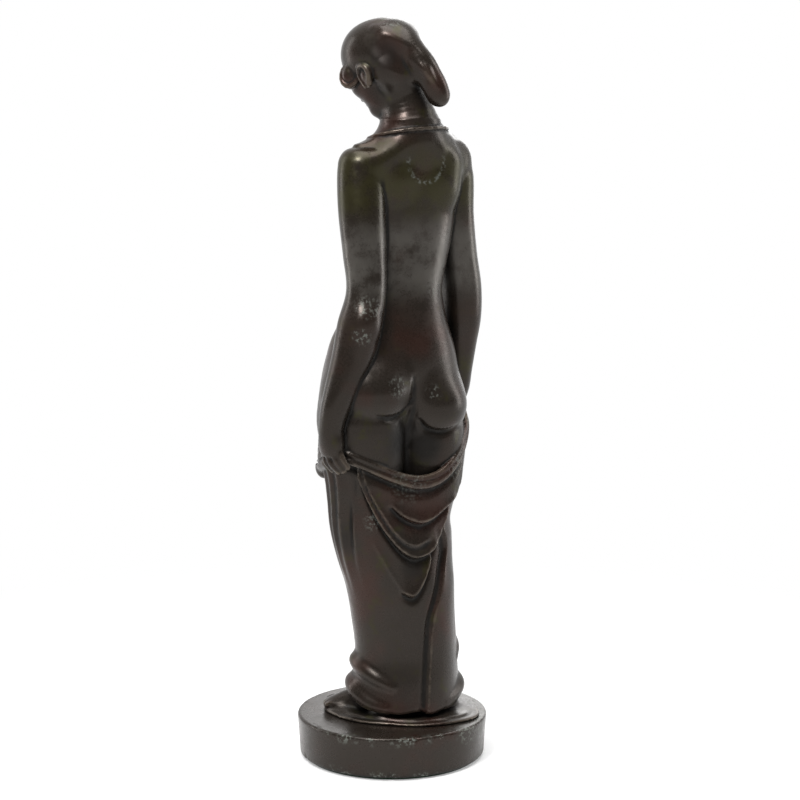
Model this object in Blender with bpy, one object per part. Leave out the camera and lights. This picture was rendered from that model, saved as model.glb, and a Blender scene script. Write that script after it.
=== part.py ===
"""Bronze statuette: a standing draped figure on a round base, as an assembly of castings.

The figure faces -Y and its left side is +X.  The origin is the centre of the base's underside.
Horizontal sections of the body, the arms and the cloth are ellipses whose centres and half-axes
are given in millimetres at a few heights, and a smooth curve runs through them.
"""
from math import cos, pi, radians, sin

import bmesh
import bpy
from mathutils import Matrix, Vector

MM = 0.001
GAP = 0.3                     # clearance between neighbouring pieces
WALL = 3.4                    # thickness of the hollow castings

BASE_RADIUS = 50.0
BASE_HEIGHT = 22.5
BASE_EDGE = 1.2                # radius of the base's rounded upper rim
BASE_WALL = 6.0
CORE_HOLE = 2.6                # radius of the core hole in the middle of the base's top
FELT_THICKNESS = 1.0
FELT_RADIUS = BASE_RADIUS - 3.5
PLATE_THICKNESS = 2.7
PLATE_CENTRE = (-5.0, 3.0)
PLATE_HALF_LENGTH = 41.0
PLATE_HALF_WIDTH = 30.5
PLATE_BEARING = -40.0          # of the plate's long axis
PLATE_LOW = BASE_HEIGHT + GAP
PLATE_TOP = PLATE_LOW + PLATE_THICKNESS

BOLT_PLACES = ((-21.0, 12.0), (8.0, 12.0))
BOLT_RADIUS = 2.5
BOLT_HEAD_RADIUS = 4.6
BOLT_HEAD_HEIGHT = 3.6
WASHER_RADIUS = 5.5
WASHER_THICKNESS = 1.0
BAR_CENTRE = (-6.5, 12.0)
BAR_SIZE = (42.0, 9.0, 5.0)
PIN_RADIUS = 2.0
HIP_PIN_BEARINGS = (45, 135, 270)
HIP_PIN_HEIGHT = 145.0

NECK_JOINT = 331.0
TORSO_FOOT = 140.0
CAVITY_TOP = 318.0             # of the hollow inside the torso
BAND_RADIUS = 2.6
NECKLACE_RADIUS = 0.9
FOOT_HALF_SIZES = (16.5, 7.6, 9.6)
FEET = {"left_foot": ((19.5, -8.5), -45), "right_foot": ((-21.0, -16.0), -100)}

BODY_STEP = 10.0               # spacing of the sections down the body
CLOTH_RINGS = 14
SIDES_BODY = 36
SIDES_HEAD = 28
SIDES_ROLL = 20
SIDES_ARM = 18
SIDES_TUBE = 8
SIDES_ROUND = 48

# height: centre x, centre y, half width, half depth
TORSO = {
    330.7: (-8.4, 4.8, 15.0, 13.2),
    327.0: (-9.3, 4.6, 19.4, 13.8),
    322.0: (-9.5, 3.4, 23.2, 14.0),
    315.0: (-9.0, 2.0, 27.0, 14.8),
    303.0: (-9.0, 0.5, 28.5, 17.0),
    288.0: (-8.0, -1.0, 27.5, 18.6),
    272.0: (-7.0, -0.8, 26.0, 18.0),
    258.0: (-5.0, 0.3, 24.2, 17.2),
    246.0: (-3.0, 1.5, 23.6, 17.0),
    232.0: (-1.6, -0.4, 28.0, 21.2),
    216.0: (-0.6, -1.4, 34.2, 26.2),
    202.0: (0.2, -2.0, 38.0, 29.8),
    188.0: (0.4, -1.4, 39.2, 30.4),
    174.0: (0.3, -0.8, 38.6, 28.4),
    160.0: (0.0, -0.3, 37.4, 26.2),
    151.0: (-0.5, 0.0, 35.4, 24.6),
    TORSO_FOOT: (-1.0, 0.5, 30.6, 21.8),
}
LEFT_ARM = {
    318.5: (19.5, 2.5, 3.5, 3.5),
    317.0: (19.5, 2.7, 7.5, 7.5),
    312.0: (20.0, 3.2, 11.0, 11.0),
    302.0: (20.6, 4.6, 12.1, 12.1),
    285.0: (21.8, 7.6, 11.9, 11.9),
    265.0: (22.0, 10.6, 11.0, 11.0),
    248.0: (22.4, 12.8, 10.1, 10.3),
    232.0: (26.4, 13.6, 11.4, 11.4),
    215.0: (30.4, 13.2, 10.8, 10.8),
    200.0: (35.8, 12.8, 9.3, 9.4),
    189.0: (39.9, 12.0, 7.8, 8.0),
    178.0: (41.4, 10.8, 6.4, 7.0),
    168.0: (41.0, 9.6, 5.8, 8.0),
    160.0: (39.8, 10.6, 4.6, 7.6),
    155.5: (39.0, 11.6, 3.0, 5.6),
}
RIGHT_ARM = {
    322.5: (-35.0, 0.0, 3.5, 3.5),
    321.0: (-35.0, 0.0, 6.4, 6.4),
    316.0: (-36.0, -0.3, 9.2, 9.2),
    304.0: (-37.3, -1.0, 10.8, 10.8),
    285.0: (-38.3, -1.8, 10.6, 10.6),
    265.0: (-40.8, -2.4, 10.4, 10.4),
    246.0: (-43.8, -3.0, 10.8, 10.8),
    230.0: (-44.6, -4.0, 10.6, 10.6),
    215.0: (-44.6, -6.6, 9.4, 9.4),
    202.0: (-44.9, -9.0, 8.2, 8.4),
    190.0: (-45.9, -11.6, 7.0, 7.8),
    180.0: (-44.0, -15.0, 6.2, 7.6),
    170.0: (-40.0, -19.0, 5.4, 7.2),
    165.0: (-38.8, -21.0, 4.0, 5.4),
}
SKIRT = {
    200.0: (0.0, -0.8, 43.0, 33.6),
    184.0: (0.0, -0.8, 42.9, 33.4),
    168.0: (0.0, -0.6, 41.8, 31.6),
    152.0: (-1.5, 0.5, 38.2, 27.8),
    140.0: (0.2, 0.0, 35.6, 26.8),
    124.0: (1.0, 0.0, 33.4, 26.0),
    108.0: (-0.6, 0.6, 31.6, 25.4),
    92.0: (-3.2, 2.0, 30.0, 24.6),
    74.0: (-5.2, 2.8, 29.2, 23.8),
    56.0: (-6.6, 3.6, 28.8, 23.6),
    42.0: (-5.6, 4.0, 30.6, 25.0),
    25.0: (-4.6, 4.0, 33.2, 26.6),
}
NECK = {
    NECK_JOINT: (-7.8, 4.8, 14.0, 12.8),
    345.0: (-5.4, 2.0, 12.0, 11.8),
    358.0: (-2.6, -1.4, 11.0, 11.4),
}
# the head's own axes: +X to its face, +Y to its left, turned to a bearing and bowed forward
HEAD_CENTRE = Vector((2.8, -7.0, 364.8))
HEAD_TURN = Matrix.Rotation(radians(-78), 4, "Z") @ Matrix.Rotation(radians(28), 4, "Y")
SKULL_HALF_SIZES = (22.0, 18.2, 19.5)
FACE_HALF_SIZES = (12.5, 12.0, 16.0)
FACE_PLACE = (6.0, 0.0, -12.5)
# x, y, z, radius along the roll of hair
HAIR_ROLL = (
    (1.0, 8.0, 378.0, 2.0), (-0.2, 9.8, 375.6, 5.4), (-2.8, 13.4, 369.2, 6.8),
    (-7.0, 17.2, 361.4, 7.2), (-11.4, 20.6, 353.4, 7.0), (-14.6, 22.4, 346.6, 6.0),
    (-15.8, 22.8, 342.6, 3.8), (-16.2, 22.8, 340.6, 1.2),
)
CURL_CENTRE = (16.8, -15.0, 356.5)
CURL_HALF_SIZES = (5.0, 5.0, 6.2)
NECKLACE_CENTRE = (-8.2, 3.8, 326.8)
NECKLACE_HALF_WIDTH = 19.8
NECKLACE_HALF_DEPTH = 15.4
NECKLACE_BACK_RISE = 2.6
NECKLACE_LEFT_DROP = 2.9
# bearing in degrees (0 is the figure's left, 90 its back): height of the cloth's edges
BAND_LINE = {0: 166.0, 20: 165.0, 40: 161.5, 60: 155.5, 80: 150.5, 95: 149.5, 110: 151.5, 130: 159.0,
             150: 170.0, 170: 179.0, 210: 183.0, 250: 186.0, 280: 184.0, 310: 172.0, 335: 160.0}
BAND_SPANS = (("cloth_band_back", 18, 200), ("cloth_band_front", 201, 377))
KNOB_CENTRE = (30.6, -14.6, 153.5)
KNOB_HALF_SIZES = (5.6, 5.8, 6.6)
HEM_LINE = {0: 32.0, 30: 28.6, 60: 26.4, 90: 26.2, 120: 28.0, 150: 32.0, 200: 34.5, 250: 36.0,
            300: 37.2, 330: 36.6}

BRONZE = (0.032, 0.026, 0.020, 1.0)
BRONZE_RED = (0.042, 0.024, 0.019, 1.0)
STEEL = (0.28, 0.27, 0.26, 1.0)
FELT = (0.02, 0.035, 0.024, 1.0)


# --- tools -----------------------------------------------------------------------------------


def clear_scene():
    for old in list(bpy.data.objects):
        bpy.data.objects.remove(old, do_unlink=True)


def material(name, colour, roughness, metallic):
    made = bpy.data.materials.new(name)
    made.use_nodes = True
    shader = made.node_tree.nodes["Principled BSDF"]
    shader.inputs["Base Color"].default_value = colour
    shader.inputs["Roughness"].default_value = roughness
    shader.inputs["Metallic"].default_value = metallic
    return made


def through(stations, at, period=None):
    """Smooth curve through the stations (key: values), read at one key."""
    keys = sorted(stations)
    if period:
        keys = [keys[-2] - period, keys[-1] - period] + keys + [keys[0] + period, keys[1] + period]
        at = at % period
    at = min(max(at, keys[0]), keys[-1])
    value = [stations[key % period if period else key] for key in keys]
    value = [row if isinstance(row, tuple) else (row,) for row in value]
    slot = max(i for i in range(len(keys) - 1) if keys[i] <= at)
    span = keys[slot + 1] - keys[slot]
    t = (at - keys[slot]) / span

    def slope(i):
        low, high = max(i - 1, 0), min(i + 1, len(keys) - 1)
        return [(b - a) / (keys[high] - keys[low]) for a, b in zip(value[low], value[high])]

    ends = zip(value[slot], value[slot + 1], slope(slot), slope(slot + 1))
    return [(2 * t**3 - 3 * t**2 + 1) * a + (3 * t**2 - 2 * t**3) * b
            + (t**3 - 2 * t**2 + t) * span * da + (t**3 - t**2) * span * db
            for a, b, da, db in ends]


def on_form(stations, bearing, height, grow=0.0):
    """Point of a form's surface at a bearing in degrees and a height."""
    x, y, half_x, half_y = through(stations, height)
    a = radians(bearing)
    return Vector((x + (half_x + grow) * cos(a), y + (half_y + grow) * sin(a), height))


def section(stations, height, grow=0.0, sides=SIDES_BODY):
    """One horizontal ellipse of a form, counter-clockwise from +X."""
    return [on_form(stations, 360 * i / sides, height, grow) for i in range(sides)]


def heights(stations, step, top=None):
    """Evenly spaced heights from the top of a form to its bottom."""
    top = max(stations) if top is None else top
    bottom = min(stations)
    count = max(2, round((top - bottom) / step))
    return [top + (bottom - top) * i / count for i in range(count + 1)]


def limb_heights(stations):
    """The stations' own heights and the middles of the long gaps between them."""
    keys = sorted(stations, reverse=True)
    middles = [(a + b) / 2 for a, b in zip(keys, keys[1:]) if a - b > 6]
    return sorted(keys + middles, reverse=True)


def skin(rings, ends="capped"):
    """Mesh through a list of rings: 'capped' at both ends, or 'joined' end to end."""
    bm = bmesh.new()
    loops = [[bm.verts.new(point * MM) for point in ring] for ring in rings]
    pairs = list(zip(loops, loops[1:]))
    if ends == "joined":
        pairs.append((loops[-1], loops[0]))
    else:
        bm.faces.new(loops[0])
        bm.faces.new(loops[-1])
    for upper, lower in pairs:
        for i, corner in enumerate(upper):
            after = (i + 1) % len(upper)
            bm.faces.new((corner, upper[after], lower[after], lower[i]))
    bmesh.ops.recalc_face_normals(bm, faces=bm.faces)
    return bm


def piece(name, bm, finish, place=(0, 0, 0), cutter=False, sharp=35):
    """Object from a bmesh, shaded smooth; a cutter is a guide that isn't part of the model."""
    mesh = bpy.data.meshes.new(name)
    bm.to_mesh(mesh)
    bm.free()
    mesh.shade_smooth()
    mesh.set_sharp_from_angle(angle=radians(sharp))
    made = bpy.data.objects.new(name, mesh)
    bpy.context.collection.objects.link(made)
    made.location = Vector(place) * MM
    if cutter:
        made.hide_render = True
        made.display_type = "WIRE"
    else:
        mesh.materials.append(finish)
        made.parent = bpy.data.objects["statuette"]
    return made


def cut(target, cutter, operation="DIFFERENCE"):
    change = target.modifiers.new(cutter.name, "BOOLEAN")
    change.operation = operation
    change.solver = "EXACT"
    change.object = cutter


def rod(radius, start, end, sides=SIDES_ARM):
    """Plain cylinder between two points."""
    start, end = Vector(start), Vector(end)
    bm = bmesh.new()
    bmesh.ops.create_cone(bm, cap_ends=True, segments=sides, radius1=radius * MM,
                          radius2=radius * MM, depth=(end - start).length * MM)
    turn = (end - start).to_track_quat("Z", "Y").to_matrix().to_4x4()
    bmesh.ops.transform(bm, matrix=Matrix.Translation((start + end) / 2 * MM) @ turn, verts=bm.verts)
    return bm


def block(size, centre):
    bm = bmesh.new()
    bmesh.ops.create_cube(bm, size=MM)
    bmesh.ops.scale(bm, vec=Vector(size), verts=bm.verts)
    bmesh.ops.translate(bm, vec=Vector(centre) * MM, verts=bm.verts)
    return bm


def egg(half_sizes, centre, turn=None, sides=SIDES_HEAD):
    """Ellipsoid with the given half sizes, turned and moved."""
    bm = bmesh.new()
    bmesh.ops.create_uvsphere(bm, u_segments=sides, v_segments=sides // 2, radius=MM)
    bmesh.ops.scale(bm, vec=Vector(half_sizes), verts=bm.verts)
    place = Matrix.Translation(Vector(centre) * MM) @ (turn or Matrix()).to_4x4()
    bmesh.ops.transform(bm, matrix=place, verts=bm.verts)
    return bm


def ring_across(here, ahead, level, radius, sides):
    """Circle round a point of a path, square to the path's direction."""
    side = ahead.cross(Vector(level)).normalized()
    up = side.cross(ahead).normalized()
    return [here + radius * (side * cos(2 * pi * k / sides) + up * sin(2 * pi * k / sides))
            for k in range(sides)]


def hoop(path, radius, ends="joined"):
    """Round bar along a level path that either meets itself or ends in two flat caps."""
    rings = []
    last = len(path) - 1
    for i, here in enumerate(path):
        after, before = min(i + 1, last), max(i - 1, 0)
        if ends == "joined":
            after, before = (i + 1) % len(path), i - 1
        rings.append(ring_across(here, path[after] - path[before], (0, 0, 1), radius, SIDES_TUBE))
    return skin(rings, ends)


def tapered(path):
    """Round upright form along (x, y, z, radius) points, closed by its small end rings."""
    points = [Vector(place[:3]) for place in path]
    last = len(points) - 1
    rings = []
    for i, here in enumerate(points):
        ahead = points[min(i + 1, last)] - points[max(i - 1, 0)]
        rings.append(ring_across(here, ahead, (1, 0, 0), path[i][3], SIDES_ROLL))
    return skin(rings)


def turned(profile, sides=SIDES_ROUND):
    """Solid of revolution about Z from a closed (radius, height) outline."""
    rings = [[Vector((radius * cos(2 * pi * i / sides), radius * sin(2 * pi * i / sides), height))
              for i in range(sides)] for radius, height in profile]
    return skin(rings, "joined")


# --- base, felt and ground plate -------------------------------------------------------------

def drill_for_bolts(target, low, high):
    """Two clearance holes through a piece that lies between two heights."""
    for i, (x, y) in enumerate(BOLT_PLACES):
        hole = rod(BOLT_RADIUS + GAP, (x, y, low - 2), (x, y, high + 2))
        cut(target, piece(f"cut_{target.name}_{i}", hole, None, cutter=True))


def make_base(bronze, felt):
    """Drum cast hollow and open below, standing on a disc of felt."""
    outer, inner = BASE_RADIUS, BASE_RADIUS - BASE_WALL
    ceiling = BASE_HEIGHT - BASE_WALL
    foot = FELT_THICKNESS + GAP
    top_edge = [(outer - BASE_EDGE * (1 - cos(a)), BASE_HEIGHT - BASE_EDGE * (1 - sin(a)))
                for a in (0, pi / 6, pi / 3, pi / 2)]
    profile = [(outer - BASE_EDGE, foot), (outer, foot + BASE_EDGE)] + top_edge
    hollow = [(CORE_HOLE, BASE_HEIGHT), (CORE_HOLE, ceiling), (inner, ceiling), (inner, foot)]
    base = piece("base", turned(profile + hollow), bronze)
    drill_for_bolts(base, ceiling, BASE_HEIGHT)
    pad = rod(FELT_RADIUS, (0, 0, 0), (0, 0, FELT_THICKNESS), SIDES_ROUND)
    piece("felt_pad", pad, felt)


def plate_outline(scale, height):
    """Blunt oval of the modelled ground, its long axis running front left to back right."""
    points = []
    turn = Matrix.Rotation(radians(PLATE_BEARING), 4, "Z")
    for i in range(SIDES_ROUND):
        a = 2 * pi * i / SIDES_ROUND
        long_way = PLATE_HALF_LENGTH * scale * (1 + 0.02 * sin(3 * a)) * cos(a)
        short_way = PLATE_HALF_WIDTH * scale * (1 + 0.03 * cos(2 * a + 0.6)) * sin(a)
        points.append(Vector((*PLATE_CENTRE, height)) + turn @ Vector((long_way, short_way, 0)))
    return points


def make_ground_plate(bronze):
    rings = [plate_outline(0.97, PLATE_TOP), plate_outline(1.0, PLATE_TOP - 0.9),
             plate_outline(1.0, PLATE_LOW)]
    plate = piece("ground_plate", skin(rings), bronze)
    drill_for_bolts(plate, PLATE_LOW, PLATE_TOP)


def make_fixings(steel):
    """Bar inside the cloth's foot, drawn down on the base by two bolts from below."""
    bar_low = PLATE_TOP + GAP
    bar_top = bar_low + BAR_SIZE[2]
    bar = piece("mounting_bar", block(BAR_SIZE, (*BAR_CENTRE, (bar_low + bar_top) / 2)), steel)
    drill_for_bolts(bar, bar_low, bar_top)
    washer_top = BASE_HEIGHT - BASE_WALL - GAP
    washer_low = washer_top - WASHER_THICKNESS
    hole_radius = BOLT_RADIUS + GAP
    head_top = washer_low - GAP
    for i, (x, y) in enumerate(BOLT_PLACES):
        ring = [(hole_radius, washer_low), (WASHER_RADIUS, washer_low), (WASHER_RADIUS, washer_top),
                (hole_radius, washer_top)]
        piece(f"washer_{i + 1}", turned(ring, SIDES_ARM), steel, (x, y, 0))
        hexagon = rod(BOLT_HEAD_RADIUS, (x, y, head_top - BOLT_HEAD_HEIGHT), (x, y, head_top), 6)
        bolt = piece(f"base_bolt_{i + 1}", hexagon, steel)
        shank = rod(BOLT_RADIUS, (x, y, head_top - 1), (x, y, bar_top - 0.5))
        cut(bolt, piece(f"shank_{i}", shank, None, cutter=True), "UNION")


def make_feet(bronze):
    """Forefoot of each foot, seen under the hem and resting on the ground plate."""
    floor = PLATE_TOP + GAP
    for name, ((x, y), bearing) in FEET.items():
        bm = egg(FOOT_HALF_SIZES, (x, y, floor), Matrix.Rotation(radians(bearing), 4, "Z"))
        found = bmesh.ops.bisect_plane(bm, geom=bm.verts[:] + bm.edges[:] + bm.faces[:], dist=1e-6,
                                       plane_co=(0, 0, floor * MM), plane_no=(0, 0, -1),
                                       clear_outer=True)
        rim = [item for item in found["geom_cut"] if isinstance(item, bmesh.types.BMEdge)]
        bmesh.ops.contextual_create(bm, geom=rim)
        piece(name, bm, bronze)


# --- cloth -----------------------------------------------------------------------------------

def cloth_rings(grow):
    """Rings of the skirt from its upper edge, just below the rolled band, to its hem."""
    rings = []
    for step in range(CLOTH_RINGS):
        ring = []
        for i in range(SIDES_BODY):
            bearing = 360 * i / SIDES_BODY
            top = through(BAND_LINE, bearing, 360)[0] - BAND_RADIUS - GAP
            hem = through(HEM_LINE, bearing, 360)[0]
            height = top + (hem - top) * step / (CLOTH_RINGS - 1)
            ring.append(on_form(SKIRT, bearing, height, grow))
        rings.append(ring)
    return rings


def band_path(start, end):
    """Line of the rolled edge round the hips between two bearings, standing clear of the body."""
    count = round((end - start) / 7)
    path = []
    for i in range(count + (end - start < 360)):
        bearing = start + (end - start) * i / count
        height = through(BAND_LINE, bearing, 360)[0]
        path.append(on_form(TORSO, bearing, height, BAND_RADIUS + GAP + 0.25))
    return path


def make_cloth(bronze):
    """Hollow skirt, the rolled edge in two lengths, and the knob bunched in the left hand."""
    rings = cloth_rings(0) + cloth_rings(-WALL)[::-1]
    skirt = piece("skirt", skin(rings, "joined"), bronze)
    bands = [piece(name, hoop(band_path(start, end), BAND_RADIUS, "capped"), bronze)
             for name, start, end in BAND_SPANS]
    gather = piece("cloth_gather", egg(KNOB_HALF_SIZES, KNOB_CENTRE, sides=SIDES_ROLL), bronze)
    return skirt, bands, gather


# --- figure ----------------------------------------------------------------------------------

def make_torso(bronze):
    """Casting closed at the neck, hollow and open at its foot inside the cloth."""
    outside = [section(TORSO, height) for height in heights(TORSO, BODY_STEP)]
    inside = [section(TORSO, height, -WALL) for height in heights(TORSO, 2 * BODY_STEP, CAVITY_TOP)]
    return piece("torso", skin(outside + inside[::-1]), bronze)


def make_arm(name, stations, bronze, grow=0.0):
    """Arm and hand; grown by the clearance, it is the cutter for its neighbours."""
    rings = [section(stations, height, grow, SIDES_ARM) for height in limb_heights(stations)]
    for ring, shift in ((rings[0], grow), (rings[-1], -grow)):
        for point in ring:
            point.z += shift
    return piece(name, skin(rings), bronze, cutter=grow > 0)


def make_head(bronze, grow=0.0):
    """Plain egg-shaped head, bowed, with its neck; grown, it is the cutter for the hair."""
    name = "cut_head" if grow else "head"
    wider = Vector((grow, grow, grow))
    skull = egg(Vector(SKULL_HALF_SIZES) + wider, HEAD_CENTRE, HEAD_TURN)
    head = piece(name, skull, bronze, cutter=grow > 0)
    column = skin([section(NECK, height, grow, SIDES_HEAD) for height in heights(NECK, 5)])
    face_centre = HEAD_CENTRE + HEAD_TURN @ Vector(FACE_PLACE)
    face = egg(Vector(FACE_HALF_SIZES) + wider, face_centre, HEAD_TURN)
    for label, shape in (("neck", column), ("face", face)):
        cut(head, piece(f"{name}_{label}", shape, None, cutter=True), "UNION")
    return head


def make_hair(bronze):
    """Long roll hanging behind the nape, and the small curl at the left temple."""
    roll = piece("hair_roll", tapered(HAIR_ROLL), bronze)
    curl = piece("hair_curl", egg(CURL_HALF_SIZES, CURL_CENTRE, sides=SIDES_ROLL), bronze)
    return roll, curl


def make_necklace(bronze, grow=0.0):
    """Cord lying round the foot of the neck, highest at the back right."""
    path = []
    for i in range(SIDES_BODY):
        a = 2 * pi * i / SIDES_BODY
        around = Vector((NECKLACE_HALF_WIDTH * cos(a), NECKLACE_HALF_DEPTH * sin(a),
                         NECKLACE_BACK_RISE * sin(a) - NECKLACE_LEFT_DROP * cos(a)))
        path.append(Vector(NECKLACE_CENTRE) + around)
    name = "cut_necklace" if grow else "necklace"
    return piece(name, hoop(path, NECKLACE_RADIUS + grow), bronze, cutter=grow > 0)


def add_pin(name, start, end, steel, holed):
    piece(name, rod(PIN_RADIUS, start, end, SIDES_TUBE), steel)
    along = (Vector(end) - Vector(start)).normalized() * GAP
    hole = rod(PIN_RADIUS + GAP, Vector(start) - along, Vector(end) + along, SIDES_TUBE)
    cutter = piece("cut_" + name, hole, None, cutter=True)
    for target in holed:
        cut(target, cutter)


def make_pins(steel, torso, head, left_arm, right_arm, skirt):
    """Dowels that locate the castings on each other."""
    add_pin("neck_pin", (-7, 4, 322), (-5.5, 3, 342), steel, (torso, head))
    add_pin("left_shoulder_pin", (8, 2, 306), (24, 4, 306), steel, (torso, left_arm))
    add_pin("right_shoulder_pin", (-40, -1, 308), (-26, -1, 308), steel, (torso, right_arm))
    for i, bearing in enumerate(HIP_PIN_BEARINGS):
        inner = on_form(TORSO, bearing, HIP_PIN_HEIGHT, -4.0)
        outer = on_form(TORSO, bearing, HIP_PIN_HEIGHT, 2.0)
        add_pin(f"hip_pin_{i + 1}", inner, outer, steel, (torso, skirt))


def make_clearances(torso, head, arms, roll, curl, skirt, bands, gather):
    """Cuts each casting back from the neighbour it fits against."""
    left_clear = make_arm("cut_left_arm", LEFT_ARM, None, GAP)
    right_clear = make_arm("cut_right_arm", RIGHT_ARM, None, GAP)
    head_clear = make_head(None, GAP)
    torso_rings = [section(TORSO, height, GAP) for height in heights(TORSO, BODY_STEP)]
    torso_clear = piece("cut_torso", skin(torso_rings), None, cutter=True)
    band_clear = piece("cut_band", hoop(band_path(0, 360), BAND_RADIUS + GAP), None, cutter=True)
    skirt_clear = piece("cut_skirt", skin(cloth_rings(GAP)), None, cutter=True)
    necklace_clear = make_necklace(None, GAP)
    for target in (torso, skirt, gather, *bands):
        cut(target, left_clear)
        cut(target, right_clear)
    for target in (skirt, gather, *bands):
        cut(target, torso_clear)
    for target in (skirt, gather):
        cut(target, band_clear)
    cut(gather, skirt_clear)
    for target in (torso, head, *arms):
        cut(target, necklace_clear)
    for target in (roll, curl):
        cut(target, head_clear)


def build():
    clear_scene()
    root = bpy.data.objects.new("statuette", None)
    bpy.context.collection.objects.link(root)
    bronze = material("dark bronze", BRONZE, 0.38, 0.85)
    ruddy = material("reddish bronze", BRONZE_RED, 0.4, 0.85)
    steel = material("fixing steel", STEEL, 0.45, 1.0)
    felt = material("felt", FELT, 0.95, 0.0)

    make_base(bronze, felt)
    make_ground_plate(bronze)
    make_fixings(steel)
    make_feet(bronze)
    skirt, bands, gather = make_cloth(ruddy)
    torso = make_torso(bronze)
    arms = (make_arm("left_arm", LEFT_ARM, bronze), make_arm("right_arm", RIGHT_ARM, bronze))
    head = make_head(bronze)
    roll, curl = make_hair(bronze)
    make_necklace(bronze)
    make_clearances(torso, head, arms, roll, curl, skirt, bands, gather)
    make_pins(steel, torso, head, *arms, skirt)


build()
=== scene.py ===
"""Looks of the bronze statuette: its castings modelled in full, and their patina.

The castings are shaped together as signed distances in millimetres, in the frame of the CAD
model, on two grids: one for the whole figure, a finer one for head, hair and necklace.  Each
casting is skinned as its own closed mesh.  Castings of one grid share the vertices of their
joint and the two grids meet level at the neck, so the chased joints don't show.
"""
from math import cos, degrees, pi, radians, sin

import bmesh
import bpy
import numpy as np
from mathutils import Matrix, Vector, noise


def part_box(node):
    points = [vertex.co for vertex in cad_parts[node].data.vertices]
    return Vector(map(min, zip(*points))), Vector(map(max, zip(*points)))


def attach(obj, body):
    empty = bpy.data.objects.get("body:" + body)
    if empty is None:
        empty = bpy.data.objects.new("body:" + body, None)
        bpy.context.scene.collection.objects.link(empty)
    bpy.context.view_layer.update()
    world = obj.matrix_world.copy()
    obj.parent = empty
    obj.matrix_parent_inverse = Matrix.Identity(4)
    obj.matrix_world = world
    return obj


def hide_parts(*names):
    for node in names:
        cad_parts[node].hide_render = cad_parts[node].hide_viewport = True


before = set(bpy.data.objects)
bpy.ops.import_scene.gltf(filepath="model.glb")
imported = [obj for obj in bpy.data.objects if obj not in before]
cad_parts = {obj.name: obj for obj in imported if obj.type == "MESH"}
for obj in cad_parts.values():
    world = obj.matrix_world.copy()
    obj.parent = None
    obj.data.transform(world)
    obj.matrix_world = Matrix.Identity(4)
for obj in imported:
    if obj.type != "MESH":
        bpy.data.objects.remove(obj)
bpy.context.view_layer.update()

MM = 0.001
VOXEL = 0.72
BUST_VOXEL = 0.6 * VOXEL
CAMERA_BEARING = 60
# distance of grid points that no form reaches, and how far round a form the grid is changed
FAR, ADD_MARGIN, CARVE_MARGIN = 30, 9, 5
# share of a grid step that the skin keeps from the grid points
CLEARANCE = 0.02
# points of a joint weigh next to nothing beside those of the outer skin
JOINT_WEIGHT = 1e-6
# each round of smoothing pulls the skin in and pushes it out again
RELAX_ROUNDS, RELAX = 3, (0.5, -0.53)
# smoothing, in square millimetres, of the skin that the relief is measured from
RELIEF_SMOOTHING = 5.5
# cosine between a face and the skin under which the face lies inside a joint
LEVEL_WITH_SKIN = 0.6
# edges sharper than these stay sharp
CASTING_EDGE, TURNED_EDGE = radians(50), radians(40)

(TORSO, LEFT_ARM, RIGHT_ARM, HEAD, HAIR_ROLL, HAIR_CURL, NECKLACE, SKIRT, BAND_BACK, BAND_FRONT, GATHER,
    LEFT_FOOT, RIGHT_FOOT, PLATE) = range(1, 15)
NODES = dict(enumerate(("torso", "left_arm", "right_arm", "head", "hair_roll", "hair_curl", "necklace",
    "skirt", "cloth_band_back", "cloth_band_front", "cloth_gather", "left_foot", "right_foot",
    "ground_plate"), 1))
CLOTH_PIECES = (SKIRT, BAND_BACK, BAND_FRONT, GATHER)
GROUND_PIECES = (LEFT_FOOT, RIGHT_FOOT, PLATE)
BUST_PIECES = (HEAD, HAIR_ROLL, HAIR_CURL, NECKLACE)

BASE_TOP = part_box("base")[1].z / MM
BASE_RADIUS = (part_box("base")[1].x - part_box("base")[0].x) / 2 / MM
PLATE_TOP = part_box("ground_plate")[1].z / MM
UNDERSIDE = BASE_TOP + 0.1
NECK_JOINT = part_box("head")[0].z / MM

# height: centre x, centre y, half width, half depth
TRUNK = {331.5: (-8, 4.5, 13.6, 12.6), 327: (-9.2, 4.2, 18, 13.2), 322: (-9.3, 3.4, 22.6, 13.8),
    315: (-9, 2.2, 27, 15.2), 303: (-9, 0.7, 28.5, 17.2), 288: (-8, -0.6, 27.5, 18.2),
    272: (-7, -0.4, 26, 17.6), 258: (-5, 0.6, 24.2, 17), 246: (-3, 1.5, 23.6, 17), 232: (-2, 1, 27, 19.3),
    216: (-1, -0.2, 33.2, 23.4), 202: (-0.3, -1.8, 37, 25.6), 190: (0, -2.8, 38, 24.2),
    178: (0.2, -3.2, 37.2, 20.6), 160: (0, -3, 35.4, 18), 140: (-1, 0, 29.6, 17)}
LEFT_LIMB = {319: (19, 2.4, 2, 2), 318.4: (19.2, 2.5, 5.6, 5.6), 316.6: (19.5, 2.8, 8.6, 8.6),
    312: (20, 3.2, 11.2, 11.2), 302: (20.6, 4.6, 12.2, 12.2), 285: (21.8, 7.6, 11.9, 11.9),
    265: (22, 10.6, 11, 11), 248: (22.4, 12.8, 10.1, 10.3), 232: (26.4, 13.6, 11.4, 11.4),
    215: (30.4, 13.2, 10.8, 10.8), 200: (35.8, 12.8, 9.3, 9.4), 189: (39.7, 12, 7.7, 8),
    178: (41.6, 10.6, 6.2, 7), 171: (41.4, 9.6, 5.4, 7.6), 165: (40.6, 9, 4.4, 7.2)}
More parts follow.
